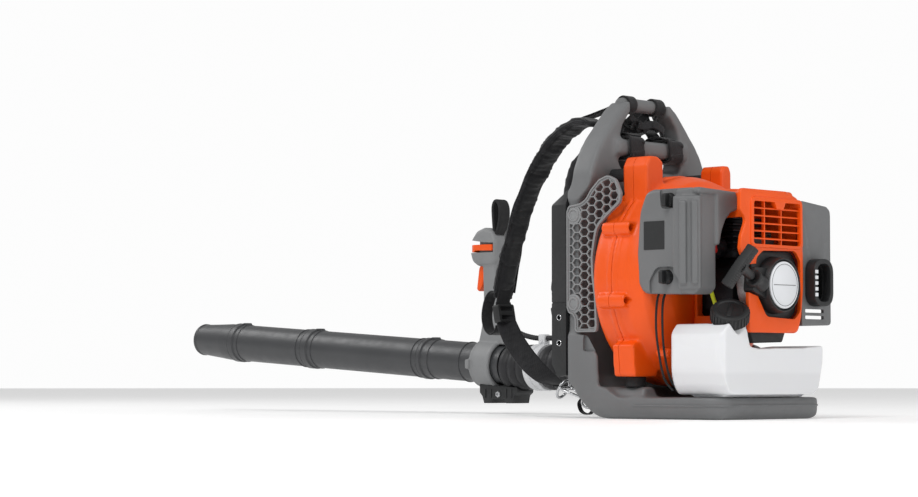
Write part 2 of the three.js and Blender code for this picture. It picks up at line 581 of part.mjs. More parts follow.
const hoseBand = () => join(
  ring(HOSE_R - 1, HOSE_R - 6, [TUBE_X, BAND_START, DUCT_Z], [0, 1, 0], BAND_END - BAND_START, 28),
  box(TUBE_X - 8, TUBE_X + 8, BAND_START + 8, BAND_START + 20, DUCT_Z + HOSE_R - 3, DUCT_Z + HOSE_R + 7),
);

// One straight tube from s0 to s1 with a socket collar over its front end.
function tubeSection(s0, s1, collar) {
  const profile = [[TUBE_R, 0], [TUBE_R, s1 - s0 - collar], [TUBE_R + 2.5, s1 - s0 - collar + 1], [TUBE_R + 2.5, s1 - s0],
    [TUBE_R - TUBE_WALL, s1 - s0], [TUBE_R - TUBE_WALL, 0], [TUBE_R, 0]];
  return turned(profile, onTube(s0), TUBE_DIR, 28);
}

// Bayonet nub on top of the tube at s.
const nub = (s) => box(TUBE_X - 5, TUBE_X + 5, onTube(s)[1] - 7, onTube(s)[1] + 7, onTube(s)[2] + TUBE_R - 1,
  onTube(s)[2] + TUBE_R + 4);

const handleTube = () => join(tubeSection(32, 226, 12), nub(206));
const middleTube = () => join(tubeSection(226 + GAP, 522, 18), nub(500));
const outerTube = () => join(tubeSection(522 + GAP, 722, 16), nub(700));
function nozzle() {
  const length = 822 - 722 - GAP;
  const tip = 28.5;
  return turned([[TUBE_R, 0], [TUBE_R, 20], [tip + 1.5, length - 12], [tip, length], [tip - TUBE_WALL, length],
    [TUBE_R - TUBE_WALL, 20], [TUBE_R - TUBE_WALL, 0], [TUBE_R, 0]], onTube(722 + GAP), TUBE_DIR, 28);
}

// Clamp ring, grip stem and head in one moulding.
function throttleGrip() {
  const clamp = ring(TUBE_R + 7, TUBE_R + GAP, onTube(46), TUBE_DIR, 46, 28);
  const x0 = TUBE_X - 17;
  const x1 = TUBE_X + 17;
  const neck = prism("X", [[530, 118], [590, 122], [582, 150], [578, 190], [580, 254], [552, 254], [546, 190], [536, 150]], x0, x1);
  const head = prism("X", [[548, 250], [590, 250], [603, 258], [609, 276], [605, 296], [593, 310], [575, 316], [558, 311],
    [549, 294]], TUBE_X - 20, TUBE_X + 20);
  const triggerSlot = box(TUBE_X - 8, TUBE_X + 8, 574, 612, 200, 262);
  const leverSlot = prism("X", [[553, 270], [626, 270], [626, 298], [553, 291]], TUBE_X - 24, TUBE_X + 24);
  const hub = box(TUBE_X - 12, TUBE_X + 12, 549, 590, 268, 299);
  const bore = rod(TUBE_R + GAP, onTube(40), TUBE_DIR, 60, 28);
  return cut(join(clamp, cut(join(neck, head), triggerSlot, cut(leverSlot, hub))), bore,
    rod(5, [TUBE_X, 520, 142], [0, 1, 0], 30, 10));
}

function clampBracket() {
  const z = 18;
  const block = prism("X", [[500, z + 2], [503, z], [580, z], [583, z + 3], [583, 40], [512, 37], [497, 37], [497, z + 8]],
    TUBE_X - 20, TUBE_X + 20);
  const pocket = prism("X", chamfered(524, 570, z - 1, z + 9, 2), TUBE_X - 14, TUBE_X + 14);
  return cut(block, pocket);
}

const throttleTrigger = () => prism("X", [[577, 258], [590, 261], [598, 246], [603, 212], [598, 207], [590, 216], [584, 240]],
  TUBE_X - 7, TUBE_X + 7);

// Stop and cruise lever that wraps round the front of the head.
function cruiseLever() {
  const z0 = 274;
  const z1 = 287;
  const [a, b] = [TUBE_X - 12.4, TUBE_X + 12.4];
  return prism("Z", [[a - 7, 556], [a, 555], [a, 592.5], [b, 592.5], [b, 555], [b + 7, 556], [b + 7, 598], [b - 2, 611],
    [a + 2, 611], [a - 7, 598]], z0, z1);
}

const conduitFront = () => cable([[TUBE_X, 529, 142], [TUBE_X - 2, 514, 138], [TUBE_X - 3, 496, 132], [TUBE_X - 2, 478, 128],
  [TUBE_X, 464, 126.4], [TUBE_X, 462 + GAP, 126.4]], 4.5, 8, 8);
const conduitRear = () => cable([[TUBE_X, 447 - GAP, 126.4], [TUBE_X, 444, 126.4], [TUBE_X - 2, 400, 128], [TUBE_X - 4, 330, 132], [TUBE_X - 8, 250, 133],
  [TUBE_X - 22, 170, 134], [150, 110, 136], [147.5, 66, 138], [147, 40, 140]], 4.5, 22, 8);

// Clip on the band that holds both ends of the throttle conduit.
const conduitClip = () => box(TUBE_X - 7, TUBE_X + 7, 447 + GAP, 462 - GAP, DUCT_Z + HOSE_R - 3, 133);

part("back_frame", backFrame(), GREY);
part("back_plate", backPlate(), BLACK);
part("back_cushion", backCushion(), FABRIC);
pair("shoulder_strap", shoulderStrap, FABRIC);
pair("lifter_strap", lifterStrap, FABRIC);
pair("lower_strap", lowerStrap, FABRIC);
pair("strap_buckle", strapBuckle, BLACK);
pair("strap_hook", strapHook, STEEL);
pair("damper_upper", damperUpper, RUBBER);
pair("damper_lower", damperLower, RUBBER);
part("fan_housing_front", housingFront(), ORANGE);
part("fan_housing_rear", housingRear(), ORANGE);
pair("intake_grille", intakeGrille, GREY);
part("impeller", impeller(), DARK);
part("crankshaft", crankshaft(), STEEL);
part("flywheel", flywheel(), CASTING);
part("crankcase", crankcase(), CASTING);
part("cylinder", cylinder(), CASTING);
part("spark_plug", sparkPlug(), STEEL);
part("ignition_coil", ignitionCoil(), BLACK);
part("carburetor", carburetor(), CASTING);
part("choke_lever", chokeLever(), RED);
part("air_filter_base", filterBase(), BLACK);
part("air_filter_element", filterElement(), PAPER);
part("air_filter_cover", filterCover(), GREY);
part("cover_knob_upper", coverKnob(KNOB_TOP), BLACK);
part("cover_knob_lower", coverKnob(KNOB_LOW), BLACK);
part("muffler", muffler(), STEEL);
part("muffler_cover", mufflerCover(), GREY);
part("exhaust_outlet", exhaustOutlet(), BLACK);
part("engine_cover", engineCover(), ORANGE);
part("starter_housing", starterHousing(), BLACK);
part("starter_pulley", starterPulley(), DARK);
part("starter_handle", starterHandle(), BLACK);
part("starter_rope", starterRope(), BLACK);
part("fuel_tank", fuelTank(), TANK);
part("fuel_cap", fuelCap(), BLACK);
part("fuel_line", fuelLine(), YELLOW);
part("outlet_elbow", outletElbow(), DARK);
part("flex_hose_rear", hoseRear(), BLACK);
part("hose_band", join(hoseBand(), conduitClip()), STEEL);
part("flex_hose_front", hoseFront(), BLACK);
part("handle_tube", handleTube(), DARK);
part("middle_tube", middleTube(), DARK);
part("outer_tube", outerTube(), DARK);
part("nozzle", nozzle(), DARK);
part("throttle_grip", throttleGrip(), GREY);
part("clamp_bracket", clampBracket(), BLACK);
part("throttle_trigger", throttleTrigger(), ORANGE);
part("cruise_lever", cruiseLever(), ORANGE);
part("throttle_conduit_rear", conduitRear(), BLACK);
part("throttle_conduit_front", conduitFront(), BLACK);

export default group;
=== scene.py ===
"""Looks for a backpack leaf blower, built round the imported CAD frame.

Shapes are written in millimetres: +X is the wearer's right, +Y the wearer's forward
direction, +Z up, with the origin on the ground under the carrying frame.
"""
import contextlib
import math

import bmesh
import bpy
import numpy as np
from mathutils import Matrix, Vector, noise


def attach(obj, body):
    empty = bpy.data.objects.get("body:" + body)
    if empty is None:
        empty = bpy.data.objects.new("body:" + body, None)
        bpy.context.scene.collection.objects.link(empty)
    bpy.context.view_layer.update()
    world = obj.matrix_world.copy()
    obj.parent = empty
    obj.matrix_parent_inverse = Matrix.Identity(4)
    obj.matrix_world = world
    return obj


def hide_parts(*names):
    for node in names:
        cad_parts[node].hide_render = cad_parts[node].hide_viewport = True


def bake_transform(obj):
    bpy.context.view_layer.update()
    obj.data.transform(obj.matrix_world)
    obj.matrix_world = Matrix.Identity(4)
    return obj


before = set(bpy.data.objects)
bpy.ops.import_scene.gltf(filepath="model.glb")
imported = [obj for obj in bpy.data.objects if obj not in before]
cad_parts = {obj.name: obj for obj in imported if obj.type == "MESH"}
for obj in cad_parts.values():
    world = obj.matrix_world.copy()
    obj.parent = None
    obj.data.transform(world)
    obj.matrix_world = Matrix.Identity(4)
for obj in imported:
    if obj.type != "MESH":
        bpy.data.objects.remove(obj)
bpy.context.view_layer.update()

MM = 0.001
TAU = math.tau
RIGHT, AHEAD, UP = (1, 0, 0), (0, 1, 0), (0, 0, 1)
scene = bpy.context.scene


# ---- camera, floor and light
def make_camera():
    data = bpy.data.cameras.new("camera")
    data.lens, data.sensor_width = 100, 36
    data.clip_start, data.clip_end = 0.1, 100
    cam = linked("camera", data)
    cam.location = (-2.98124, -2.38843, 0.057)
    cam.rotation_euler = (math.radians(92.952), 0, math.radians(-46.124))
    scene.camera = cam


def make_light(name, place, target, size, power):
    data = bpy.data.lights.new(name, "AREA")
    data.shape, data.size, data.size_y = "RECTANGLE", size[0], size[1]
    data.energy = power
    lamp = linked(name, data)
    lamp.location = place
    aim = Vector(target) - Vector(place)
    lamp.rotation_euler = aim.to_track_quat("-Z", "Y").to_euler()


def make_studio():
    world = bpy.data.worlds.new("world")
    scene.world = world
    world.use_nodes = True
    background = world.node_tree.nodes["Background"]
    background.inputs["Color"].default_value = (1, 1, 1, 1)
    background.inputs["Strength"].default_value = 0.5
    tree = world.node_tree
    seen = tree.nodes.new("ShaderNodeBackground")
    seen.inputs["Strength"].default_value = 1.0
    path, pick = tree.nodes.new("ShaderNodeLightPath"), tree.nodes.new("ShaderNodeMixShader")
    tree.links.new(path.outputs["Is Camera Ray"], pick.inputs[0])
    tree.links.new(background.outputs[0], pick.inputs[1])
    tree.links.new(seen.outputs[0], pick.inputs[2])
    tree.links.new(pick.outputs[0], tree.nodes["World Output"].inputs["Surface"])
    seen.inputs["Color"].default_value = (0.98, 0.98, 0.98, 1)
    make_light("key", (-2.6, -0.9, 2.9), (0, 0.1, 0.2), (1.4, 1.4), 66)
    make_light("fill", (0.8, -3.2, 1.3), (0, -0.1, 0.2), (1.8, 1.2), 20)
    make_light("rim", (-0.8, 3.0, 2.2), (0, 0.4, 0.3), (2.2, 0.8), 26)
    scene.view_settings.view_transform = "Standard"
    floor = disc_mesh("floor", 14.0)
    floor.data.materials.append(floor_material())


def disc_mesh(name, radius):
    bm = bmesh.new()
    bmesh.ops.create_circle(bm, cap_ends=True, segments=96, radius=radius)
    data = bpy.data.meshes.new(name)
    bm.to_mesh(data)
    bm.free()
    return linked(name, data)


# ---- material nodes
class Nodes:
    """A material under construction, with short ways to add and join nodes."""

    def __init__(self, name):
        self.mat = bpy.data.materials.new(name)
        self.mat.use_nodes = True
        self.tree = self.mat.node_tree
        self.bsdf = self.tree.nodes["Principled BSDF"]
        coords = self.tree.nodes.new("ShaderNodeTexCoord")
        self.place = coords.outputs["Object"]
        self.uv = coords.outputs["UV"]

    def plug(self, socket, value):
        if isinstance(value, bpy.types.NodeSocket):
            self.tree.links.new(value, socket)
        else:
            socket.default_value = value

    def noise(self, scale, detail=2.0, rough=0.5):
        n = self.tree.nodes.new("ShaderNodeTexNoise")
        self.plug(n.inputs["Vector"], self.place)
        n.inputs["Scale"].default_value = scale
        n.inputs["Detail"].default_value = detail
        n.inputs["Roughness"].default_value = rough
        return n.outputs["Fac"]

    def cells(self, scale):
        n = self.tree.nodes.new("ShaderNodeTexVoronoi")
        self.plug(n.inputs["Vector"], self.place)
        n.inputs["Scale"].default_value = scale
        return n.outputs["Distance"]

    def math(self, op, a, b=0.0):
        n = self.tree.nodes.new("ShaderNodeMath")
        n.operation = op
        self.plug(n.inputs[0], a)
        self.plug(n.inputs[1], b)
        return n.outputs[0]

    def mul(self, a, b):
        return self.math("MULTIPLY", a, b)

    def remap(self, value, lo, hi, to_lo=0.0, to_hi=1.0):
        n = self.tree.nodes.new("ShaderNodeMapRange")
        self.plug(n.inputs["Value"], value)
        for key, x in zip(("From Min", "From Max", "To Min", "To Max"), (lo, hi, to_lo, to_hi)):
            n.inputs[key].default_value = x
        return n.outputs["Result"]

    def drift(self, scale, detail, to_lo=0.0, to_hi=1.0, rough=0.5):
        return self.remap(self.noise(scale, detail, rough), 0.3, 0.7, to_lo, to_hi)

    def mix(self, fac, a, b):
        n = self.tree.nodes.new("ShaderNodeMix")
        n.data_type = "RGBA"
        self.plug(n.inputs["Factor"], fac)
        self.plug(n.inputs["A"], a)
        self.plug(n.inputs["B"], b)
        return n.outputs["Result"]

    def axes(self, at=None):
        n = self.tree.nodes.new("ShaderNodeSeparateXYZ")
        self.plug(n.inputs[0], at or self.place)
        return n.outputs

    def bump(self, height, strength, depth_mm, below=None):
        n = self.tree.nodes.new("ShaderNodeBump")
        n.inputs["Strength"].default_value = strength
        n.inputs["Distance"].default_value = depth_mm * MM
        self.plug(n.inputs["Height"], height)
        if below is not None:
            self.plug(n.inputs["Normal"], below)
        return n.outputs["Normal"]

    def edges(self, lo=0.53, hi=0.62):
        # Pointiness masks: sharp edges, and hollows, which the materials darken as painted shade.
        n = self.tree.nodes.new("ShaderNodeNewGeometry")
        return self.remap(n.outputs["Pointiness"], lo, hi), self.remap(n.outputs["Pointiness"], 0.47, 0.4)

    def done(self, color, rough, normal, **constant):
        self.plug(self.bsdf.inputs["Base Color"], color)
        self.plug(self.bsdf.inputs["Roughness"], rough)
        self.plug(self.bsdf.inputs["Normal"], normal)
        for key, value in constant.items():
            self.bsdf.inputs[key.replace("_", " ")].default_value = value
        return self.mat


def rgb(r, g, b):
    """Screen colour, 0 to 255, as a linear colour."""
    return tuple(((c / 255 + 0.055) / 1.055) ** 2.4 if c > 10 else c / 255 / 12.92 for c in (r, g, b)) + (1.0,)


def shade(color, k):
    return tuple(min(1.0, c * k) for c in color[:3]) + (1.0,)


def moulded(name, color, rough=0.45, grain=0.12, wear=0.35, mottle=0.08, specular=0.5):
    """Injection-moulded plastic: fine spark-eroded grain, slow colour drift, rubbed edges, painted shade in hollows.
    """
    n = Nodes(name)
    base = n.mix(n.drift(14, 4), shade(color, 1 - mottle), shade(color, 1 + mottle))
    edge, hollow = n.edges()
    scuff = n.mul(edge, n.remap(n.noise(160, 5, 0.7), 0.42, 0.62))
    worn = n.mix(n.mul(scuff, wear), base, shade(color, 1.6))
    # painted shade: hollows darkened towards 0.45 of the colour
    cavity_shaded = n.mix(n.mul(hollow, 0.35), worn, shade(color, 0.45))
    gloss = n.drift(70, 5, rough - 0.06, rough + 0.1, rough=0.65)
    skin = n.bump(n.noise(1500, 2), grain, 0.12)
    skin = n.bump(n.noise(35, 2), 0.12, 0.25, skin)
    return n.done(cavity_shaded, gloss, skin, Specular_IOR_Level=specular)


def woven(name, color, pitch_mm, along=(0, 0.7071, -0.7071), rough=0.85, depth=0.35, fuzz=0.25):
    """Plain-woven nylon: two sets of threads crossing over and under."""
    n = Nodes(name)
    x, y, z = n.axes()
    run = n.math("ADD", n.mul(y, along[1]), n.mul(z, along[2]))
    k = TAU / (pitch_mm * MM)
    a = n.math("SINE", n.mul(x, k))
    b = n.math("SINE", n.mul(run, k))
    over = n.remap(n.mul(a, b), -0.2, 0.2)
    weave = n.math("ADD", n.mul(n.math("ABSOLUTE", a), over), n.mul(n.math("ABSOLUTE", b),
        n.math("SUBTRACT", 1.0, over)))
    drift = n.drift(22, 4)
    tone = n.mix(n.mul(weave, 0.7), shade(color, 0.55), shade(color, 1.5))
    faded = n.mix(n.mul(drift, 0.3), tone, shade(color, 2.0))
    edge, _ = n.edges(0.52, 0.58)
    rubbed = n.mix(n.mul(edge, 0.3), faded, shade(color, 3.0))
    skin = n.bump(weave, depth, 0.25)
    skin = n.bump(n.noise(90, 4), 0.35, 0.8, skin)
    return n.done(rubbed, n.drift(200, 3, rough - 0.08, rough + 0.08), skin, Sheen_Weight=fuzz, Sheen_Roughness=0.5,
        Specular_IOR_Level=0.25)


def webbing(name, color):
    """Flat strap webbing with its chevron rib; UV runs across and along the strap."""
    n = Nodes(name)
    u, v, _ = n.axes(n.uv)
    fold = n.math("ABSOLUTE", n.math("SUBTRACT", n.math("FRACT", n.mul(u, 4.0)), 0.5))
    rib = n.math("SINE", n.mul(n.math("ADD", n.mul(v, 0.45), fold), TAU * 3))
    height = n.remap(rib, -1, 1)
    selvedge = n.remap(n.math("ABSOLUTE", n.math("SUBTRACT", u, 0.5)), 0.42, 0.46)
    tone = n.mix(height, shade(color, 0.55), shade(color, 1.6))
    tone = n.mix(n.mul(selvedge, 0.6), tone, shade(color, 0.5))
    tone = n.mix(n.mul(n.remap(n.noise(40, 4), 0.4, 0.7), 0.35), tone, shade(color, 2.2))
    skin = n.bump(height, 0.5, 0.3)
    skin = n.bump(n.noise(900, 2), 0.2, 0.15, skin)
    return n.done(tone, n.drift(150, 3, 0.62, 0.8), skin, Sheen_Weight=0.2, Sheen_Roughness=0.4,
        Specular_IOR_Level=0.3)


def metal(name, color, rough=0.25, grain=0.2, scale=700):
    """Plated or drawn metal: fine pits, smoke-grey drift."""
    n = Nodes(name)
    tone = n.mix(n.drift(60, 5, rough=0.7), shade(color, 0.72), color)
    _, hollow = n.edges()
    # painted shade: hollows darkened towards 0.3 of the colour
    tone = n.mix(n.mul(hollow, 0.6), tone, shade(color, 0.3))
    gloss = n.drift(180, 5, rough - 0.08, rough + 0.14, rough=0.7)
    return n.done(tone, gloss, n.bump(n.noise(scale, 3), grain, 0.15), Metallic=1.0)


def cast(name, color):
    """Sand-cast aluminium with a pebbled skin."""
    n = Nodes(name)
    tone = n.mix(n.remap(n.cells(450), 0.1, 0.6), shade(color, 0.75), color)
    skin = n.bump(n.cells(600), 0.35, 0.3)
    skin = n.bump(n.noise(90, 4), 0.3, 0.5, skin)
    return n.done(tone, n.drift(120, 4, 0.4, 0.6), skin, Metallic=0.85)


def rubbery(name, color, rough=0.7):
    n = Nodes(name)
    tone = n.mix(n.drift(30, 5), shade(color, 0.8), shade(color, 1.25))
    edge, _ = n.edges()
    tone = n.mix(n.mul(edge, 0.35), tone, shade(color, 2.6))
    skin = n.bump(n.noise(800, 3), 0.2, 0.2)
    return n.done(tone, n.drift(90, 4, rough - 0.1, rough + 0.1), skin, Specular_IOR_Level=0.35)


def milky(name, color):
    """Blow-moulded translucent tank plastic, a little darker below a wavy line about 70 mm up."""
    n = Nodes(name)
    _, _, z = n.axes()
    level = n.remap(n.math("ADD", z, n.mul(n.noise(9, 2), 0.004)), 0.066, 0.072)
    tone = n.mix(level, shade(color, 0.93), color)
    tone = n.mix(n.mul(n.remap(n.noise(18, 4), 0.35, 0.7), 0.35), tone, shade(color, 0.95))
    skin = n.bump(n.noise(1100, 2), 0.12, 0.12)
    skin = n.bump(n.noise(24, 2), 0.3, 0.8, skin)
    return n.done(tone, n.drift(60, 4, 0.32, 0.5), skin, Subsurface_Weight=0.35,
        Subsurface_Radius=(0.02, 0.02, 0.018), Subsurface_Scale=0.4)


def pleated(name, color):
    """Filter paper, folded in narrow pleats with a felt-like skin."""
    n = Nodes(name)
    _, _, z = n.axes()
    fold = n.math("ABSOLUTE", n.math("SINE", n.mul(z, TAU / 0.007)))
    # painted shade: darker in the pleat valleys
    tone = n.mix(fold, shade(color, 0.5), color)
    tone = n.mix(n.mul(n.noise(60, 4), 0.4), tone, shade(color, 0.7))
    return n.done(tone, n.drift(300, 2, 0.85, 0.98), n.bump(fold, 0.8, 2.0))


def floor_material():
    n = Nodes("floor_paint")
    tone = n.mix(n.drift(3, 3), (0.86, 0.86, 0.86, 1), (0.9, 0.9, 0.9, 1))
    return n.done(tone, n.drift(8, 3, 0.45, 0.6), n.bump(n.noise(120, 2), 0.05, 0.3), Emission_Color=(1, 1, 1, 1),
        Emission_Strength=0.22)


ORANGE = moulded("orange_moulding", rgb(236, 84, 3), 0.38, 0.1, 0.12, 0.05, 0.4)
# Dark copy of the orange: painted shade for the shroud's inside.
ORANGE_SHADE = moulded("orange_painted_shade", rgb(120, 24, 14), 0.6, 0.12, 0.1)
GREY = moulded("grey_moulding", rgb(106, 107, 108), 0.5, 0.16, 0.3, 0.06)
GREY_LIGHT = moulded("light_grey_moulding", rgb(128, 129, 130), 0.5, 0.14, 0.3, 0.06)
BLACK = moulded("black_moulding", rgb(27, 28, 29), 0.48, 0.2, 0.5, 0.12)
TUBE = moulded("tube_moulding", rgb(58, 59, 61), 0.38, 0.1, 0.5, 0.08)
RED = moulded("red_moulding", rgb(205, 30, 24), 0.4, 0.1, 0.3)
WHITE = moulded("white_moulding", rgb(225, 227, 230), 0.35, 0.06, 0.1, 0.02)
HOSE = rubbery("hose_rubber", rgb(36, 36, 38), 0.5)
RUBBER = rubbery("damper_rubber", rgb(28, 28, 29))
PAD = woven("pad_cloth", rgb(24, 24, 26), 1.3)
CUSHION = woven("cushion_cloth", rgb(22, 22, 24), 1.6, UP)
WEB = webbing("strap_webbing", rgb(26, 26, 28))
STEEL = metal("bright_steel", rgb(215, 216, 218), 0.22, 0.1)
SHEET = metal("muffler_steel", rgb(150, 140, 128), 0.45, 0.3, 300)
CAST = cast("cast_alloy", rgb(175, 176, 178))
# A dark cast finish, deepened further as painted shade for the crankcase, cylinder and carburettor inside the frame.
CAST_SHADED = cast("cast_alloy_shaded", rgb(46, 46, 49))
MILKY = milky("tank_plastic", rgb(229, 230, 232))
PAPER = pleated("filter_paper", rgb(214, 198, 150))
YELLOW = rubbery("fuel_line_tube", rgb(200, 208, 30), 0.35)
BAND = moulded("band_plastic", rgb(205, 206, 208), 0.35, 0.08, 0.2, 0.04)


# ---- shapes
def linked(name, data):
    o = bpy.data.objects.new(name, data)
    scene.collection.objects.link(o)
    return o


@contextlib.contextmanager
def editing(o, *others):
    """The mesh of the object, with the others' faces added, open for editing."""
    bm = bmesh.new()
    for part in (o, *others):
        bm.from_mesh(part.data)
    yield bm
    bm.to_mesh(o.data)
    bm.free()


def new_object(name, verts, faces):
    data = bpy.data.meshes.new(name)
    data.from_pydata([tuple(c * MM for c in v) for v in verts], [], faces)
    data.update()
    o = linked(name, data)
    with editing(o) as bm:
        bmesh.ops.recalc_face_normals(bm, faces=bm.faces)
    return o


def soft(points, radius, steps=6):
    """The outline with each corner rounded; radius is one number or one for each corner."""
    out, count = [], len(points)
    for i, p in enumerate(points):
        r = radius[i] if isinstance(radius, (list, tuple)) else radius
        p = Vector(p)
        to_a, to_b = Vector(points[i - 1]) - p, Vector(points[(i + 1) % count]) - p
        half = to_a.angle(to_b) / 2
        d = min(r / math.tan(half), to_a.length * 0.47, to_b.length * 0.47) if half < 1.55 else 0
        if d < 0.15:
            out.append(tuple(p))
            continue
        a, b = p + to_a.normalized() * d, p + to_b.normalized() * d
        for k in range(steps + 1):
            t = k / steps
            out.append(tuple(a * (1 - t) ** 2 + p * 2 * t * (1 - t) + b * t * t))
    return out


def circle(a, b, r, n=48):
    return [(a + r * math.cos(TAU * i / n), b + r * math.sin(TAU * i / n)) for i in range(n)]


def rect(a0, a1, b0, b1):
    return [(a0, b0), (a1, b0), (a1, b1), (a0, b1)]


def mirrored(half):
    return half + [(-x, y) for x, y in reversed(half) if x]


def prism(axis, outline, a, b):
    """Outline extruded along an axis. X: points (y, z). Y: points (x, z). Z: points (x, y)."""
    n = len(outline)
    put = {"X": lambda p, h: (h, *p), "Y": lambda p, h: (p[0], h, p[1]), "Z": lambda p, h: (*p, h)}[axis]
    verts = [put(p, a) for p in outline] + [put(p, b) for p in outline]
    faces = [list(range(n))[::-1], list(range(n, 2 * n))]
    faces += [[i, (i + 1) % n, n + (i + 1) % n, n + i] for i in range(n)]
    return new_object("prism", verts, faces)


def slab(axis, points, radius, a, b):
    """A prism with rounded corners."""
    return prism(axis, soft(points, radius), a, b)


def box(x0, x1, y0, y1, z0, z1):
    return prism("Z", rect(x0, x1, y0, y1), z0, z1)


def turned(profile, origin, direction, segments=72):
    """Profile of (radius, height) turned about a line; its two ends are on the axis or join up."""
    turn = Vector(UP).rotation_difference(Vector(direction).normalized())
    origin = Vector(origin)
    loop = profile[0] == profile[-1]
    points = profile[:-1] if loop else profile
    rows, verts, faces = [], [], []
    for r, h in points:
        if r < 1e-6:
            rows.append([len(verts)] * segments)
            verts.append(origin + turn @ Vector((0, 0, h)))
        else:
            rows.append(list(range(len(verts), len(verts) + segments)))
            verts += [origin + turn @ Vector((r * math.cos(TAU * i / segments), r * math.sin(TAU * i / segments), h))
                for i in range(segments)]
    pairs = list(zip(rows, rows[1:])) + ([(rows[-1], rows[0])] if loop else [])
    for low, high in pairs:
        for i in range(segments):
            j = (i + 1) % segments
            face = list(dict.fromkeys((low[i], low[j], high[j], high[i])))
            if len(face) > 2:
                faces.append(face)
    return new_object("turned", verts, faces)


def rod(r, origin, direction, length, segments=48, edge=0.0):
    if edge:
        return turned([(0, 0), (r - edge, 0), (r, edge), (r, length - edge), (r - edge, length), (0, length)], origin,
            direction, segments)
    return turned([(0, 0), (r, 0), (r, length), (0, length)], origin, direction, segments)


def ring(outer, inner, origin, direction, length, segments=72, edge=0.0):
    e = edge
    profile = [(outer, e), (outer, length - e), (outer - e, length), (inner + e, length), (inner, length - e),
        (inner, e), (inner + e, 0), (outer - e, 0), (outer, e)]
    if not e:
        profile = [(outer, 0), (outer, length), (inner, length), (inner, 0), (outer, 0)]
    return turned(profile, origin, direction, segments)


def spline(points, count, closed=False):
    """Even samples of the Catmull-Rom curve through the points."""
    pts = [Vector(p) for p in points]
    n = len(pts)
    spans = n if closed else n - 1
    fine = []
    for i in range(spans):
        if closed:
            p0, p1, p2, p3 = (pts[(i + k - 1) % n] for k in range(4))
        else:
            p0, p1, p2, p3 = pts[max(i - 1, 0)], pts[i], pts[i + 1], pts[min(i + 2, n - 1)]
        for k in range(16):
            t = k / 16
            fine.append(0.5 * (2 * p1 + (p2 - p0) * t + (2 * p0 - 5 * p1 + 4 * p2 - p3) * t * t
                + (3 * p1 - p0 - 3 * p2 + p3) * t ** 3))
    fine.append(pts[0] if closed else pts[-1])
    lengths = [0.0]
    for a, b in zip(fine, fine[1:]):
        lengths.append(lengths[-1] + (b - a).length)
    out, j = [], 0
    steps = count if closed else count - 1
    for k in range(count):
        want = lengths[-1] * k / steps
        while j < len(fine) - 2 and lengths[j + 1] < want:
            j += 1
        t = (want - lengths[j]) / max(lengths[j + 1] - lengths[j], 1e-9)
        out.append(fine[j].lerp(fine[j + 1], t))
    return out


def sweep(path, section, side=None, closed=False, grow=None):
    """Section (across, up) carried along path points; side fixes the across direction. UV: across, along in mm/10."""
    path = [Vector(p) for p in path]
    n, m = len(path), len(section)
    verts, last, run = [], None, [0.0]
    for i, p in enumerate(path):
        across = Vector(side(i / (n - 1)) if callable(side) else side).normalized() if side is not None else None
        ahead = path[(i + 1) % n] if closed or i < n - 1 else p
        behind = path[i - 1] if closed or i > 0 else p
        t = (ahead - behind).normalized()
        if across is not None:
            a = (across - t * across.dot(t)).normalized()
        elif last is None:
            a = t.orthogonal().normalized()
        else:
            a = (last - t * last.dot(t)).normalized()
        last = a
        u = a.cross(t).normalized()
        k = grow(i / max(n - 1, 1)) if grow else (1, 1)
        verts += [p + a * (x * k[0]) + u * (y * k[1]) for x, y in section]
        run.append(run[-1] + (path[(i + 1) % n] - p).length)
    faces = []
    for i in range(n if closed else n - 1):
        j = (i + 1) % n
        for q in range(m):
            r = (q + 1) % m
            faces.append([i * m + q, i * m + r, j * m + r, j * m + q])
    if not closed:
        faces += [list(range(m))[::-1], list(range((n - 1) * m, n * m))]
    o = new_object("sweep", verts, faces)
    wide = [x for x, _ in section]
    span = max(wide) - min(wide)
    uv = o.data.uv_layers.new(name="UVMap")
    for loop in o.data.loops:
        i, q = divmod(loop.vertex_index, m)
        uv.data[loop.index].uv = ((section[q][0] - min(wide)) / span, run[i] / 10)
    return o


def flat_section(width, thick, n=10):
    """Cross-section of webbing: a thin rounded strip."""
    e = thick / 2
    top = [(-width / 2 + e + (width - 2 * e) * i / n, e) for i in range(n + 1)]
    right = [(width / 2 - e + e * math.sin(a), e * math.cos(a)) for a in (0.8, 1.57, 2.34)]
    return top + right + [(x, -y) for x, y in reversed(top)] + [(-x, -y) for x, y in right]


def settle(o):
    """Applies the object's modifiers."""
    bpy.context.view_layer.update()
    dg = bpy.context.evaluated_depsgraph_get()
    data = bpy.data.meshes.new_from_object(o.evaluated_get(dg), preserve_all_data_layers=True, depsgraph=dg)
    o.modifiers.clear()
    o.data = data
    return o


def remove(*objects):
    for o in objects:
        bpy.data.objects.remove(o)


def boolean(op, o, *others):
    """Adds, subtracts or keeps the shared part of closed shapes, one after another."""
    for other in others:
        for solver in ("MANIFOLD", "EXACT"):
            before = o.data
            m = o.modifiers.new("boolean", "BOOLEAN")
            m.operation, m.object, m.solver = op, other, solver
            settle(o)
            if len(o.data.polygons):
                break
            o.data = before
        remove(other)
    return o


def cut(o, *others):
    return boolean("DIFFERENCE", o, *others)


def fuse(o, *others):
    return boolean("UNION", o, *others)


def common(o, *others):
    return boolean("INTERSECT", o, *others)


def merge(*objects):
    """One object with all the parts' faces, which may pass through each other."""
    with editing(*objects):
        pass
    remove(*objects[1:])
    return objects[0]


def melt(o, voxel, rounds):
    """Rebuilds a closed shape as one even skin and softens its edges."""
    m = o.modifiers.new("remesh", "REMESH")
    m.mode, m.voxel_size, m.adaptivity = "VOXEL", voxel * MM, 0
    s = o.modifiers.new("smooth", "SMOOTH")
    s.factor, s.iterations = 0.5, rounds
    return settle(o)


def bevel(o, width, segments=3, angle=32):
    m = o.modifiers.new("bevel", "BEVEL")
    m.width, m.segments, m.limit_method = width * MM, segments, "ANGLE"
    m.angle_limit = math.radians(angle)
    m.miter_outer = "MITER_ARC"
    return settle(o)


def moved(o, matrix):
    o.data.transform(matrix)
    return o


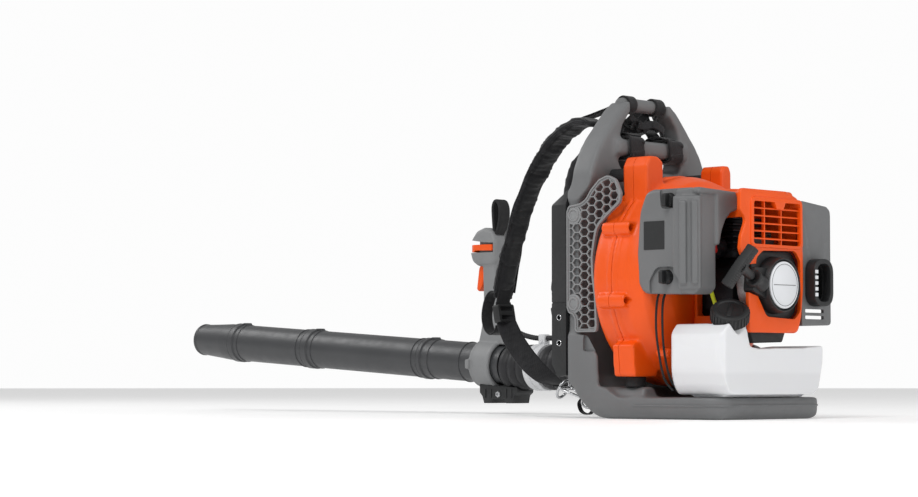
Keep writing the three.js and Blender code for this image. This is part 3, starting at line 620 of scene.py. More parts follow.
def piece(o, name, mat, *nodes, body="frame", slot=None, angle=38):
    """Names the finished piece, shades it, and makes it ride on its body in place of CAD nodes."""
    o.name = o.data.name = name
    o.data.polygons.foreach_set("use_smooth", [True] * len(o.data.polygons))
    if angle < 180:
        o.data.set_sharp_from_angle(angle=math.radians(angle))
    o.data.materials.clear()
    o.data.materials.append(mat)
    if body:
        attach(o, body)
    if nodes:
        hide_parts(*nodes)
    return o


def refined(node, body, mat, width):
    """A CAD node's shape, welded, its flat triangles joined and its edges rounded."""
    o = linked(node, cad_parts[node].data.copy())
    with editing(o) as bm:
        bmesh.ops.remove_doubles(bm, verts=bm.verts, dist=2e-6)
        bmesh.ops.dissolve_limit(bm, angle_limit=math.radians(1), verts=bm.verts, edges=bm.edges)
    piece(bevel(o, width, 2, 30), node + "_piece", mat, node, body=body)


# ---- driving dimensions
FRAME_HALF = 138
FRAME_TOP = 484
FRAME_FRONT = 124.6
ARCH_FRONT, ARCH_REAR = 114, 74
BASE_REAR, BASE_HALF, BASE_TOP = -158, 128, 32
PEDESTAL_TOP = 47
HANDLE_Y, HANDLE_Z, HANDLE_R = 94, 473, 10.5
CRANK_Z, SCROLL_Z, SCROLL_R = 194, 204, 156
SPLIT_Y, HOUSING_REAR, HOUSING_FRONT = 20, -52, 62
DUCT_Y, DUCT_Z, DUCT_R = 8, 78, 36
TUBE_X, PITCH_Y, PITCH_Z = 180, 500, 80
TUBE_R, HOSE_R, HOSE_START = 33.5, 38, 158
BAND_START, BAND_END = 441, 470
STRAP_X, PAD_WIDTH, PAD_THICK, LOOP_X = 68, 50, 13, 46
RISE = math.radians(3.74)
TUBE_DIR = Vector((0, math.cos(RISE), math.sin(RISE)))
PULL_DIR = Vector((-0.92, -0.14, 0.36)).normalized()
CAP_DIR = Vector((-0.433, -0.415, 0.8)).normalized()
CAP_BASE = Vector((-90, -144, 140))
EYELETS = (112, 150)
LUGS = ((143, 278), (155, 172))
LID_KNOBS = {"upper": (-82, 314), "lower": (-76, 204)}
STARTER = (-2, -180, CRANK_Z)


def on_tube(s):
    return Vector((TUBE_X, PITCH_Y, PITCH_Z)) + TUBE_DIR * s


def in_plane(x, pairs):
    return [(x, y, z) for y, z in pairs]


def pull_point(t):
    return Vector((-64, -169.5, 201)) + PULL_DIR * t


# ---- carrying frame
def corner(x, y, r, start):
    return [(x + r * math.cos(math.radians(start + d)), y + r * math.sin(math.radians(start + d)))
        for d in range(0, 91, 10)]


def carrying_frame():
    side = slab("X", [(BASE_REAR, 19), (BASE_REAR + 15, 0), (86, 0), (112, 45), (FRAME_FRONT, 56), (FRAME_FRONT, 336),
        (ARCH_FRONT, 350), (ARCH_FRONT, FRAME_TOP), (ARCH_REAR, FRAME_TOP), (ARCH_REAR, 348), (104, 322), (104, 66),
        (94, PEDESTAL_TOP), (50, PEDESTAL_TOP), (30, BASE_TOP), (BASE_REAR + 4, BASE_TOP), (BASE_REAR, BASE_TOP - 6)],
        [6, 8, 30, 20, 10, 12, 30, 14, 14, 40, 26, 16, 12, 16, 16, 6, 5], -FRAME_HALF, FRAME_HALF)
    front = slab("Y", mirrored([(BASE_HALF - 14, -1), (BASE_HALF, 17), (FRAME_HALF, 34), (FRAME_HALF, 366),
        (122, 400), (107, 420), (87, 441), (66, 464), (40, FRAME_TOP - 1), (20, FRAME_TOP + 2)]), 26, BASE_REAR - 1,
        FRAME_FRONT + 1)
    r = 40
    foot = prism("Z", [(-FRAME_HALF, 34), (-BASE_HALF, 6), *corner(-BASE_HALF + r, BASE_REAR + r, r, 180),
        *corner(BASE_HALF - r, BASE_REAR + r, r, 270), (BASE_HALF, 6), (FRAME_HALF, 34),
        (FRAME_HALF, FRAME_FRONT + 1), (-FRAME_HALF, FRAME_FRONT + 1)], -1, FRAME_TOP + 2)
    body = common(side, front, foot)
    arch = cut(slab("Y", mirrored([(66, 372), (73, 382), (73, 412), (63, 440), (45, 461)]), 14, 60, 130))
    body = cut(body, arch, box(-96, 96, 88, 105, 60, 310), box(-45, 45, 60, 130, 456, 500),
        box(FRAME_HALF - 5, FRAME_HALF + 2, 60, 123.4, 126.6, 324), box(-FRAME_HALF - 2, -FRAME_HALF + 5, 60, 123.4,
        126.6, 324))
    walls = [prism("X", soft([(64, 36), (110, 40), (110, 125), (88, 125), (66, 92)], [2, 2, 2, 10, 16]), *ab)
        for ab in ((-FRAME_HALF + 0.4, -FRAME_HALF + 9), (FRAME_HALF - 9, FRAME_HALF - 0.4))]
    pedestal = slab("Y", [(-BASE_HALF + 1, 20), (-88, 20), (-94, PEDESTAL_TOP), (-BASE_HALF + 8, PEDESTAL_TOP)], 8,
        -12, 62)
    crossbar = slab("X", [(66, 392), (98, 392), (98, 418), (66, 418)], 9, -84, 84)
    body = melt(merge(body, *walls, pedestal, crossbar), 2.6, 20)
    pocket = slab("X", [(66, 99), (92, 99), (92, 125), (72, 125)], 5, -FRAME_HALF - 4, -FRAME_HALF + 6)
    body = cut(body, pocket)
    piece(body, "frame_moulding", GREY, "back_frame", angle=50)
    bar = turned([(0, -50), (9, -50), (HANDLE_R, -44), (HANDLE_R - 0.3, 0), (HANDLE_R, 44), (9, 50), (0, 50)],
        (0, HANDLE_Y, HANDLE_Z), RIGHT)
    piece(bar, "carry_bar", GREY)
    groove = cut(slab("Z", [(-BASE_HALF - 1.2, 4), *corner(-BASE_HALF + r, BASE_REAR + r, r + 1.2, 180),
        *corner(BASE_HALF - r, BASE_REAR + r, r + 1.2, 270), (BASE_HALF + 1.2, 4)], 0, 19, 21.2),
        prism("Z", [(-BASE_HALF + 2, 6), *corner(-BASE_HALF + r, BASE_REAR + r, r - 2, 180),
        *corner(BASE_HALF - r, BASE_REAR + r, r - 2, 270), (BASE_HALF - 2, 6)], 18, 23))
    piece(bevel(groove, 0.6, 2), "foot_rib", GREY)


def back_plate():
    y0 = FRAME_FRONT + 0.35
    plate = slab("X", [(y0, 64), (141, 62), (153, 80), (153, 318), (y0, 344)], [0, 4, 8, 10, 0], -FRAME_HALF,
        FRAME_HALF)
    rim = slab("Y", mirrored([(FRAME_HALF, 60), (FRAME_HALF, 318), (126, 346)]), 5, y0 - 1, 154)
    plate = common(plate, rim)
    holes = [rod(3.2, (s * (FRAME_HALF + 1), 139, z), (-s, 0, 0), 12, 32) for s in (-1, 1) for z in EYELETS]
    step = [box(*ab, y0 - 2, 160, 171, 173.4) for ab in ((-FRAME_HALF - 1, -FRAME_HALF + 1.2),
        (FRAME_HALF - 1.2, FRAME_HALF + 1))]
    plate = cut(plate, *holes, *step)
    piece(bevel(plate, 1.2, 3), "back_panel", BLACK, "back_plate")
    eyelets = [ring(4.6, 3.4, (s * (FRAME_HALF + 0.5), 139, z), (-s, 0, 0), 3, 40, 0.5) for s in (-1, 1)
        for z in EYELETS]
    piece(merge(*eyelets), "panel_eyelets", STEEL)


def honeycomb(outline, row, column):
    """Centres of a honeycomb that covers the outline."""
    ys, zs = [p[0] for p in outline], [p[1] for p in outline]
    found, i, y = [], 0, min(ys)
    while y < max(ys) + column:
        z = min(zs) - (row / 2 if i % 2 else 0)
        while z < max(zs) + row:
            found.append((y, z))
            z += row
        y += column
        i += 1
    return found


def intake_grille(side):
    outline = soft([(123.2, 164), (123.2, 307), (119, 316), (105, 317.5), (95, 319), (85, 325), (75.7, 338),
        (60, 352), (43, 358), (27, 351), (17, 330), (19, 316), (41, 300), (63, 282), (68.4, 259), (72, 238),
        (70.5, 211), (65.5, 181), (64, 136), (66, 127.5), (103, 127.5), (107, 131), (107.5, 148), (112, 154),
        (119, 156)], [8, 8, 7, 8, 20, 20, 20, 14, 14, 12, 8, 10, 30, 30, 30, 60, 60, 60, 12, 6, 5, 5, 8, 6, 6])
    a, b = sorted((side * (FRAME_HALF - 4), side * (FRAME_HALF - 0.9)))
    bosses = [(110.5, 302), (111, 170)]
    cells = merge(*[prism("X", [(y + 8.3 * math.cos(k * TAU / 6), z + 6.5 * math.sin(k * TAU / 6)) for k in range(6)],
        a - 2, b + 2) for y, z in honeycomb(outline, 12.9, 14.4)])
    cells = common(cells, prism("X", inset(outline, 5.2), a - 3, b + 3))
    cells = cut(cells, *[rod(14.5, (a - 5, y, z), RIGHT, 14, 48) for y, z in bosses])
    panel = cut(prism("X", outline, a, b), cells)
    rim = cut(prism("X", outline, side * (FRAME_HALF - 1.2), side * (FRAME_HALF + 0.9)),
        prism("X", inset(outline, 2.6), side * (FRAME_HALF - 4), side * (FRAME_HALF + 3)))
    bevel(rim, 0.6, 2)
    studs = [turned([(0, 0), (10.5, 0), (10.5, 2.4), (9.4, 3.4), (7.8, 3.4), (6.9, 2.4), (6.2, 0.6), (0, 0.2)],
        (side * (FRAME_HALF - 2.6), y, z), (side, 0, 0)) for y, z in bosses]
    whole = merge(panel, rim, *studs)
    name = "left" if side < 0 else "right"
    piece(whole, "honeycomb_" + name, GREY_LIGHT, "intake_grille_" + name, angle=30)


def inset(outline, d):
    """The closed outline moved inwards by d."""
    pts = [Vector(p) for p in outline]
    n = len(pts)
    area = sum(pts[i - 1].x * pts[i].y - pts[i].x * pts[i - 1].y for i in range(n))
    turn = 1 if area > 0 else -1
    out = []
    for i in range(n):
        t = (pts[(i + 1) % n] - pts[i - 1])
        t = t.normalized() if t.length > 1e-9 else Vector((1, 0))
        out.append((pts[i].x - turn * t.y * d, pts[i].y + turn * t.x * d))
    return out


# ---- fan housing
def fan_housing():
    outer = [(0, HOUSING_REAR), (98, HOUSING_REAR), (110, -50), (138, -38), (148, -30), (SCROLL_R - 2, -14),
        (SCROLL_R, -6), (SCROLL_R, 50), (SCROLL_R - 3, 57), (146, HOUSING_FRONT), (0, HOUSING_FRONT)]
    shell = turned(outer, (0, 0, SCROLL_Z), AHEAD, 128)
    hollow = turned([(0, -46), (102, -46), (137, -32), (SCROLL_R - 5, -6), (SCROLL_R - 5, 50), (145, 57), (0, 57)],
        (0, 0, SCROLL_Z), AHEAD, 96)
    towers = [slab("Y", [(-66, 300), (-68, 378), (-80, 386), (-98, 386), (-107, 372), (-104, 290)], 3, -6, 40),
        slab("Y", [(76, 300), (100, 290), (100, 372), (95, 382), (81, 382), (76, 374)], 3, -2, 40)]
    lugs = []
    for s in (-1, 1):
        for x, z in LUGS:
            lug = slab("Y", [(s * (x - 18), z - 12), (s * (x + 7), z - 9), (s * (x + 9), z + 1), (s * (x + 7), z + 9),
                (s * (x - 18), z + 10)], 3, -8, 44)
            lugs.append(lug)
    foot = slab("Y", [(-138, 62), (-86, 62), (-84, 110), (-108, 124), (-142, 108)], 5, -8, 32)
    pad = box(98, 130, -8, 24, BASE_TOP + 10, 64)
    duct = rod(DUCT_R, (60, DUCT_Y, DUCT_Z), RIGHT, 74, 64)
    collars = [ring(SCROLL_R + 2.6, SCROLL_R - 4, (0, y, SCROLL_Z), AHEAD, 4, 128)
        for y in (SPLIT_Y - 7, SPLIT_Y + 3)]
    bosses = [rod(7, (s * x, -58, z), AHEAD, 22, 32) for s in (-1, 1) for x, z in ((60, 322), (118, 96))]
    body = melt(merge(shell, *towers, *lugs, foot, duct, pad, *collars, *bosses), 2.4, 5)
    cutters = [hollow, rod(DUCT_R - 3, (56, DUCT_Y, DUCT_Z), RIGHT, 90, 64), rod(72, (0, 50, CRANK_Z), AHEAD, 20, 72),
        rod(15, (0, HOUSING_REAR - 1, CRANK_Z), AHEAD, 20, 32)]
    cutters += [rod(5.6, (s * (x + 1), -14, z), AHEAD, 24, 32) for s in (-1, 1) for x, z in LUGS]
    body = cut(body, *cutters)
    front = linked("fan_front", body.data.copy())
    halves = ((front, "fan_case_front", SPLIT_Y + 0.4, 110, "fan_housing_front"),
        (body, "fan_case_rear", -110, SPLIT_Y - 0.4, "fan_housing_rear"))
    for o, name, y0, y1, node in halves:
        common(o, box(-210, 210, y0, y1, 0, 430))
        piece(o, name, ORANGE, node, angle=42)


# ---- engine side
def filter_cover():
    x1 = -100.35
    outline = soft([(-131, 187), (-122, 179), (-34, 181), (-22, 196), (-21, 240), (-26, 300), (-38, 327), (-50, 331),
        (-120, 331), (-131, 322)], [12, 10, 14, 16, 60, 60, 14, 14, 12, 10])
    outer = prism("X", outline, -150, x1)
    bevel(outer, 7, 5, 50)
    start, along = Vector((-150.5, -104)), Vector((14, -31)).normalized()
    out = Vector((along.y, -along.x))

    def swell(t0, t1, height, z0, z1, r):
        """Raised panel on the cover's slanted rear corner, from t0 to t1 along it."""
        rows = ((t0, -8), (t0 + 2, height), (t1 - 1, height), (t1, -8))
        plan = [start + along * t + out * h for t, h in rows]
        return bevel(slab("Z", plan, 2.5, z0, z1), r, 4, 50)
    roof = bevel(slab("Y", [(-146, 322), (-146, 331), (-62, 328), (-53, 318), (-53, 303), (-72, 297), (-84, 286),
        (-93, 270), (-98, 250), (-104, 250), (-104, 322)], 5, -134, -122), 1.6, 3, 40)
    lip = slab("X", [(-134, 322), (-60, 322), (-60, 328), (-134, 328)], 2, -103, -60)
    corner_cut = prism("Z", [(-151, -104), (-137, -135), (-160, -135), (-160, -104)], 170, 345)
    outer = cut(outer, corner_cut)
    swells = [swell(-12, 31, 4.5, 186, 319, 4), swell(-2, 11, 9.5, 193, 312, 4), swell(16, 28, 9.5, 193, 312, 4)]
    shell = melt(merge(outer, *swells, roof, lip), 1.4, 5)
    hollow = slab("X", [(-124, 202), (-118, 194), (-36, 194), (-29, 204), (-28, 240), (-32, 298), (-43, 320),
        (-52, 324), (-114, 324), (-124, 316)], 8, -143, x1 + 1)
    scroll = turned([(0, -54), (104, -54), (144, -38), (158, -9), (158, 60), (0, 60)], (0, 0, SCROLL_Z), AHEAD, 96)
    knobs = [rod(10.6, (-170, y, z), RIGHT, 40, 40) for y, z in LID_KNOBS.values()]
    recess_top = slab("X", [(-94, 302), (-68, 302), (-64, 340), (-98, 340)], 8, -160, -146)
    arch = slab("X", [(-104, 166), (-46, 166), (-46, 200), (-58, 219), (-92, 219), (-104, 200)],
        [1, 1, 14, 16, 16, 14], -160, -145.5)
    inner_corner = prism("Z", [(-146, -100), (-130, -136), (-170, -136), (-170, -100)], 160, 350)
    shell = cut(shell, cut(hollow, inner_corner), scroll, *knobs, recess_top, arch)
    piece(shell, "filter_lid", GREY, "air_filter_cover", body="filter_cover", angle=40)
    plate = bevel(slab("X", [(-74, 244), (-36, 244), (-36, 285), (-74, 285)], 1.2, -150.7, -149.6), 0.25, 1)
    piece(plate, "lid_plate", BLACK, body="filter_cover")
    for name, (y, z) in LID_KNOBS.items():
        stem = turned([(0, -2), (8.5, -2), (9.6, 0), (9.8, 16), (0, 16)], (-152, y, z), RIGHT, 48)
        wing = bevel(slab("Y", [(-163, z - 9), (-150, z - 10.5), (-150, z + 10.5), (-163, z + 9)], 3, y - 3.4, y
            + 3.4), 1.4, 3)
        piece(merge(stem, wing), "lid_knob_" + name, BLACK, "cover_knob_" + name, body="knob_" + name)


STARTER_POCKET = [(-30, 148), (38, 145), (52, 158), (52, 230), (40, 245), (-38, 243), (-54, 232), (-56, 196),
    (-50, 176)]


def engine_cover():
    wrap = soft([(-58, 125), (47, 125), (56, 150), (61, 190), (61, 240), (57, 300), (50, 322), (30, 329), (-58, 331)],
        [6, 12, 30, 50, 50, 40, 14, 14, 6])
    inner = soft([(-46, 120), (43, 120), (52, 152), (57, 190), (57, 240), (53, 298), (46, 319), (28, 325),
        (-46, 327)], 6)
    body = bevel(prism("Y", wrap, -165, HOUSING_REAR - 0.5), 7, 5, 50)
    cheek = bevel(slab("Y", [(-70, 125), (20, 125), (20, 331), (-90, 331), (-90, 300), (-76, 286), (-88, 262),
        (-91, 244), (-84, 232), (-72, 186)], [6, 2, 2, 9, 12, 10, 10, 9, 16, 20], -165, -158.5), 2.4, 4, 50)
    rim = bevel(slab("Y", [(-68, 247), (57, 247), (56, 320), (-67, 320)], 9, -167.2, -160), 1.8, 3, 50)
    brow = bevel(slab("X", [(-160, 300), (-166, 322), (-163, 331), (-120, 333.5), (-60, 333.5), (-60, 300)], 8, -56,
        36), 3, 3, 50)
    shell = fuse(body, cheek, rim)
    shell = fuse(shell, brow)
    window = slab("Y", [(-62, 252), (51, 252), (50, 314), (14, 314), (9, 304), (-7, 304), (-12, 314), (-61, 314)],
        [5, 5, 5, 2, 3, 3, 2, 5], -175, -150)
    starter = slab("Y", STARTER_POCKET, 14, -180, -140)
    guide = slab("Y", [(-72, 182), (-30, 172), (-30, 226), (-74, 222), (-88, 214), (-88, 190)], 6, -180, -140)
    tools = [prism("Y", inner, -160, -40), window, starter, guide, box(-60, -40, -152, -60, 150, 292),
        box(-60, 70, -150, -50, 100, 133), box(50, 70, -110, -64, 248, 278)]
    shell = cut(shell, *tools)
    bevel(shell, 0.5, 2, 50)
    louvres = [bevel(slab("X", [(-163.4, z), (-158, z + 1.4), (-158, z + 3.4), (-163.4, z + 2)], 0.4, -65, 55), 0.3,
        1) for z in (259, 270, 281, 292, 303)]
    bars = [box(x, x + 2.4, -162.6, -158, 249, 316) for x in (-32, 8)]
    whole = merge(shell, *louvres, *bars)
    piece(whole, "engine_shroud", ORANGE, "engine_cover", angle=40)
    # Thin dark orange sheet just inside the shroud's front: painted shade on its inner walls.
    shade_sheet = common(prism("Y", inset(inner, 0.6), -158, -156.5), box(-100, 100, -200, 0, 131, 400))
    shade_sheet = cut(shade_sheet, slab("Y", [(-62, 250), (53, 250), (53, 316), (-63, 316)], 4, -170, -150),
        slab("Y", STARTER_POCKET, 14, -180, -140), prism("Y", rect(-90, -28, 165, 228), -180, -140))
    piece(shade_sheet, "shroud_shade_sheet", ORANGE_SHADE)
    sump = slab("Y", [(-52, 140), (44, 140), (30, 112), (-40, 110)], 4, -148, -66)
    piece(bevel(sump, 2, 3), "engine_sump", BLACK)


def starter():
    r = 41
    cup = turned([(0, -174), (34.6, -174), (35.4, -172.8), (36.2, -174.4), (37.4, -176.4), (38.6, -176), (39.6, -172),
        (r, -160), (r + 2, -152), (r + 2, -143), (r - 4, -143), (r - 4, -164), (r - 8, -169), (0, -169)],
        (-2, 0, CRANK_Z), AHEAD, 96)
    liner = slab("Y", [(x * 0.985, CRANK_Z + (z - CRANK_Z) * 0.985) for x, z in STARTER_POCKET], 14, -156, -148)
    cup = merge(cup, cut(liner, rod(r - 2, STARTER, AHEAD, 50, 64)))
    arm = cut(slab("Y", [(-68, 184), (-30, 172), (-30, 218), (-64, 218)], 5, -170, -152),
        rod(40, STARTER, AHEAD, 50, 64))
    horn = turned([(0, -4), (12, -4), (13, 0), (11.5, 8), (11.5, 17), (12.6, 19), (12.6, 22.5), (11, 24), (0, 24)],
        pull_point(-18), PULL_DIR, 56)
    body = cut(merge(cup, arm, horn), rod(4.5, pull_point(-40), PULL_DIR, 80, 32))
    piece(bevel(body, 0.5, 2, 45), "starter_case", BLACK, "starter_housing")
    disc = turned([(0, 2.6), (33, 2.6), (34, 1.9), (34, 0), (0, 0)], (-2, -174, CRANK_Z), (0, -1, 0), 96)
    piece(disc, "starter_disc", WHITE)
    line = merge(box(-28, 24, -176.9, -176.4, CRANK_Z - 0.5, CRANK_Z + 0.5),
        ring(30.6, 29.9, (-2, -176.9, CRANK_Z), AHEAD, 0.5, 96))
    piece(line, "starter_disc_lines", GREY)
    across = Vector((0.47, -0.41, 0.78))
    across = (across - PULL_DIR * across.dot(PULL_DIR)).normalized()
    centre = pull_point(46)
    path = [centre + across * t for t in np.linspace(-34, 34, 120)]
    section = soft([(-6, -7.5), (6, -7.5), (6, 7.5), (-6, 7.5)], 1.6, 3)

    def grip_size(t):
        end = min(1.0, (min(t, 1 - t) * 16 + 0.72))
        rib = 1 + (0.055 * math.cos(t * TAU * 20) if 0.1 < t < 0.9 else 0.055)
        return end * (1.25 - 0.25 * math.cos(t * TAU)) ** 0.5, end * rib
    bar = sweep(path, section, PULL_DIR, grow=grip_size)
    stem = turned([(0, 0), (5.6, 0), (6.4, 4), (7, 20), (9.5, 32), (9.5, 36), (0, 36)], pull_point(10), PULL_DIR, 40)
    handle = cut(merge(bar, stem), rod(2.6, pull_point(4), PULL_DIR, 34, 24))
    piece(handle, "pull_grip", BLACK, "starter_handle", body="grip", angle=50)
    ropes = spline([(-8.3, -155, 172.8), (-27, -155.6, 181.5), pull_point(-22), pull_point(0), pull_point(34)], 60)
    run = sweep(ropes, circle(0, 0, 1.7, 10))
    wind = turned([(21.3, -156.6), (24.5, -156.6), (24.5, -153.4), (21.3, -153.4), (21.3, -156.6)], (0, 0, CRANK_Z),
        AHEAD)
    rope = piece(merge(run, wind), "pull_rope", PAD, "starter_rope", body=None, slot="rubber")
    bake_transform(rope)


def muffler_cover():
    outline = soft([(62, 136), (133, 138), (142, 156), (149, 235), (149, 255), (133, 308), (124, 314), (62, 320)],
        [2, 14, 16, 30, 20, 14, 8, 2])
    outer = common(prism("Y", outline, -160, -58), slab("Z", [(61.5, -160), (134, -160), (150, -146), (150, -57),
        (61.5, -57)], [1, 10, 12, 1, 1], 130, 330))
    bevel(outer, 4, 4, 45)
    inner = common(prism("Y", [(58, 141), (129, 143), (137, 159), (144, 235), (144, 253), (129, 303), (122, 309),
        (58, 315)], -155, -50), prism("Z", [(58, -155), (131, -155), (145, -143), (145, -50), (58, -50)], 130, 330))
    vents = [slab("Y", rect(70, 116, z, z + 5.2), 1.8, -170, -150) for z in (146.5, 156)]
    vents += [slab("X", rect(-148, -66, z, z + 7), 2, 125, 156) for z in (147, 156.5)]
    side_vents = [slab("X", rect(-140, -80, z, z + 4.5), 2, 135, 156) for z in (250, 262, 274)]
    cover = cut(outer, inner, prism("Y", stadium(17.5, 29), -170, -150), *vents, *side_vents)
    piece(bevel(cover, 0.5, 2, 50), "muffler_shroud", GREY, "muffler_cover")


def stadium(half, tall):
    return soft(rect(93 - half, 93 + half, 200 - tall, 200 + tall), half - 0.5, 12)


def exhaust_oval():
    flange = cut(prism("Y", stadium(23.5, 35), -178, -160.4), prism("Y", stadium(16.5, 28), -180, -150))
    bevel(flange, 2.0, 4, 50)
    tube = cut(prism("Y", stadium(16.8, 28.4), -164, -136.4), prism("Y", stadium(14.5, 26), -170, -130))
    piece(merge(flange, tube), "exhaust_ring", BLACK, "exhaust_outlet")
    # painted highlight: white bars for the light caught on the outlet's steel slots
    bright = [slab("Y", rect(70.6, 77.4, 179.5 + i * 8.4, 184.6 + i * 8.4), 0.8, -178.5, -176.5) for i in range(5)]
    piece(merge(*bright), "exhaust_slot_glints", WHITE, slot="steel")


def fuel_tank():
    main = slab("Y", [(-126, 50), (-116, 36), (82, 36), (95, 46), (112, 108), (62, 104), (-50, 102), (-70, 105),
        (-78, 133), (-119, 138), (-133, 122), (-138, 104), (-134, 74)], [10, 12, 12, 10, 5, 20, 6, 6, 8, 9, 10, 12,
        20], -166, -70)
    trim = slab("Z", [(-140, -152), (-128, -167), (104, -167), (113, -156), (113, -69), (-130, -69), (-140, -80)], 10,
        30, 140)
    body = common(main, trim)
    foot = box(-108, 78, -149, -91, BASE_TOP + 0.4, 46)
    neck = turned([(0, -50), (25.5, -50), (24.8, -14), (23.4, -4), (22.4, -0.4), (0, -0.4)], CAP_BASE, CAP_DIR, 64)
    neck = common(neck, box(-137, -40, -167, -70, 40, 160))
    dish = turned([(0, 0), (29, 0), (29, 60), (0, 60)], CAP_BASE - CAP_DIR * 3, CAP_DIR, 64)
    body = melt(merge(cut(body, dish), foot, neck), 1.8, 9)
    piece(body, "tank_body", MILKY, "fuel_tank", angle=60)


def fuel_cap():
    cap = turned([(0, 0.4), (23, 0.4), (24.5, 2), (27, 4), (27, 19), (25.4, 22), (23, 23), (20, 23), (18.6, 21.6),
        (0, 21.2)], CAP_BASE, CAP_DIR, 96)
    turn = Vector(UP).rotation_difference(CAP_DIR)
    ribs = []
    for i in range(30):
        a = TAU * i / 30
        rib = bevel(box(-1.5, 1.5, 26, 28.3, 4.5, 20), 0.8, 2)
        place = Matrix.Translation(CAP_BASE * MM) @ turn.to_matrix().to_4x4() @ Matrix.Rotation(a, 4, "Z")
        ribs.append(moved(rib, place))
    bar = bevel(box(-17, 17, -3.2, 3.2, 20.8, 23), 1, 3)
    moved(bar, Matrix.Translation(CAP_BASE * MM) @ turn.to_matrix().to_4x4() @ Matrix.Rotation(0.5, 4, "Z"))
    piece(merge(cap, *ribs, bar), "tank_cap", BLACK, "fuel_cap", body="cap")


def fuel_line():
    path = spline([(-73, -113, 135.8), (-74, -113, 142), (-80, -112, 162), (-84, -106, 186), (-78, -94, 208),
        (-76, -92, 214), (-76, -92, 220.6)], 60)
    piece(sweep(path, circle(0, 0, 3, 16)), "fuel_tube", YELLOW, "fuel_line")


def wiring():
    paths = ([(-126, -58, 196), (-136, -50, 176), (-139, -49, 132), (-140, -56, 90), (-136, -62, 58),
        (-122, -66, 42)], [(-122, -62, 196), (-131, -56, 172), (-133, -56, 130), (-133, -60, 92), (-129, -66, 60),
        (-116, -68, 44)])
    for k, path in enumerate(paths):
        piece(sweep(spline(path, 70), circle(0, 0, 1.7, 14)), f"engine_wire_{k}", RUBBER, angle=70)


# ---- tubes, hose and handle
def elbow():
    bend = TUBE_X - 135
    arc = [(135 + bend * math.sin(math.radians(d)), DUCT_Y + bend * (1 - math.cos(math.radians(d))), DUCT_Z)
        for d in (18, 36, 54, 72)]
    path = spline([(134.4, DUCT_Y, DUCT_Z), (137, DUCT_Y, DUCT_Z), *arc, (TUBE_X, DUCT_Y + bend, DUCT_Z),
        (TUBE_X, 100, DUCT_Z), (TUBE_X, HOSE_START, DUCT_Z)], 60)
    outer = sweep(path, circle(0, 0, DUCT_R - 1, 64))
    ext = [(128, DUCT_Y, DUCT_Z), *path, (TUBE_X, HOSE_START + 6, DUCT_Z)]
    outer = cut(outer, sweep(ext, circle(0, 0, DUCT_R - 4, 48)))
    flange = ring(DUCT_R + 3, DUCT_R - 5, (134.4, DUCT_Y, DUCT_Z), RIGHT, 5, 72, 0.8)
    beads = [ring(DUCT_R + 1.4, DUCT_R - 3, (TUBE_X, y, DUCT_Z), AHEAD, 4, 72, 1) for y in (84, 146)]
    piece(merge(outer, flange, *beads), "duct_elbow", TUBE, "outlet_elbow", slot="black_plastic")


def bellows(from_, to, pitch):
    count = round((to - from_) / pitch)
    step = (to - from_) / count
    outer, inner = [], []
    for i in range(count * 14 + 1):
        h = from_ + step * i / 14
        wave = 0.5 - 0.5 * math.cos(TAU * i / 14)
        lift = wave ** 0.38
        outer.append((HOSE_R - 4 + 4 * lift, h))
        inner.append((HOSE_R - 6 + 3.4 * lift, h))
    return outer + inner[::-1] + [outer[0]]


def hoses():
    rear = turned(bellows(HOSE_START + 0.4, BAND_START - 0.4, 20), (TUBE_X, 0, DUCT_Z), AHEAD, 72)
    piece(rear, "bellows_rear", HOSE, "flex_hose_rear", body=None, angle=60)
    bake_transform(rear)
    length = on_tube(30).y - BAND_END - 1
    front = turned(bellows(0, length - 2, 19), (TUBE_X, BAND_END + 1, DUCT_Z), (0, 1, 0.02), 72)
    piece(front, "bellows_front", HOSE, "flex_hose_front", body=None, angle=60)
    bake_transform(front)
    strap = turned([(HOSE_R + 0.4, 0.8), (HOSE_R + 0.8, 2), (HOSE_R + 0.8, 12), (HOSE_R - 0.6, 13),
        (HOSE_R - 0.6, 15), (HOSE_R + 0.8, 16), (HOSE_R + 0.8, 27), (HOSE_R + 0.4, 28.2), (HOSE_R - 5, 28.2),
        (HOSE_R - 5, 0.8), (HOSE_R + 0.4, 0.8)], (TUBE_X, BAND_START, DUCT_Z), AHEAD, 96)
    clip = bevel(box(TUBE_X - 7, TUBE_X + 7, 447.4, 461.6, DUCT_Z + HOSE_R - 3, 133), 1.6, 3)
    screw = rod(3, (TUBE_X - 9, 455, 121), RIGHT, 4, 32, 0.6)
    piece(merge(strap, clip, screw), "hose_clamp", BAND, "hose_band", body="band")


def tube_piece(name, node, body, s0, s1, collar, lug, rings=()):
    """One straight tube with its bayonet collar, lug and rings."""
    length = s1 - s0
    r = TUBE_R
    profile = [(r - 2.5, 0), (r - 0.6, 0), (r, 0.8), (r, length - collar - 1), (r + 1.2, length - collar),
        (r + 2.4, length - collar + 1), (r + 2.5, length - 4), (r + 1.6, length - 3.2), (r + 2.5, length - 2.4),
        (r + 2.4, length - 0.6), (r + 1.6, length), (r - 2.5, length), (r - 2.5, 0)]
    tube = turned(profile, on_tube(s0), TUBE_DIR, 96)
    beads = [ring(r + 1.3, r - 1, on_tube(s), TUBE_DIR, 2.6, 96, 0.8) for s in rings]
    parts = [tube, *beads]
    if lug:
        p = on_tube(lug)
        block = bevel(slab("X", [(p.y - 9, p.z + r - 2), (p.y + 8, p.z + r - 2), (p.y + 6, p.z + r + 4),
            (p.y - 4, p.z + r + 4)], 1.6, TUBE_X - 6, TUBE_X + 6), 1, 2)
        parts.append(block)
    piece(merge(*parts), name, TUBE, node, body=body, angle=30)


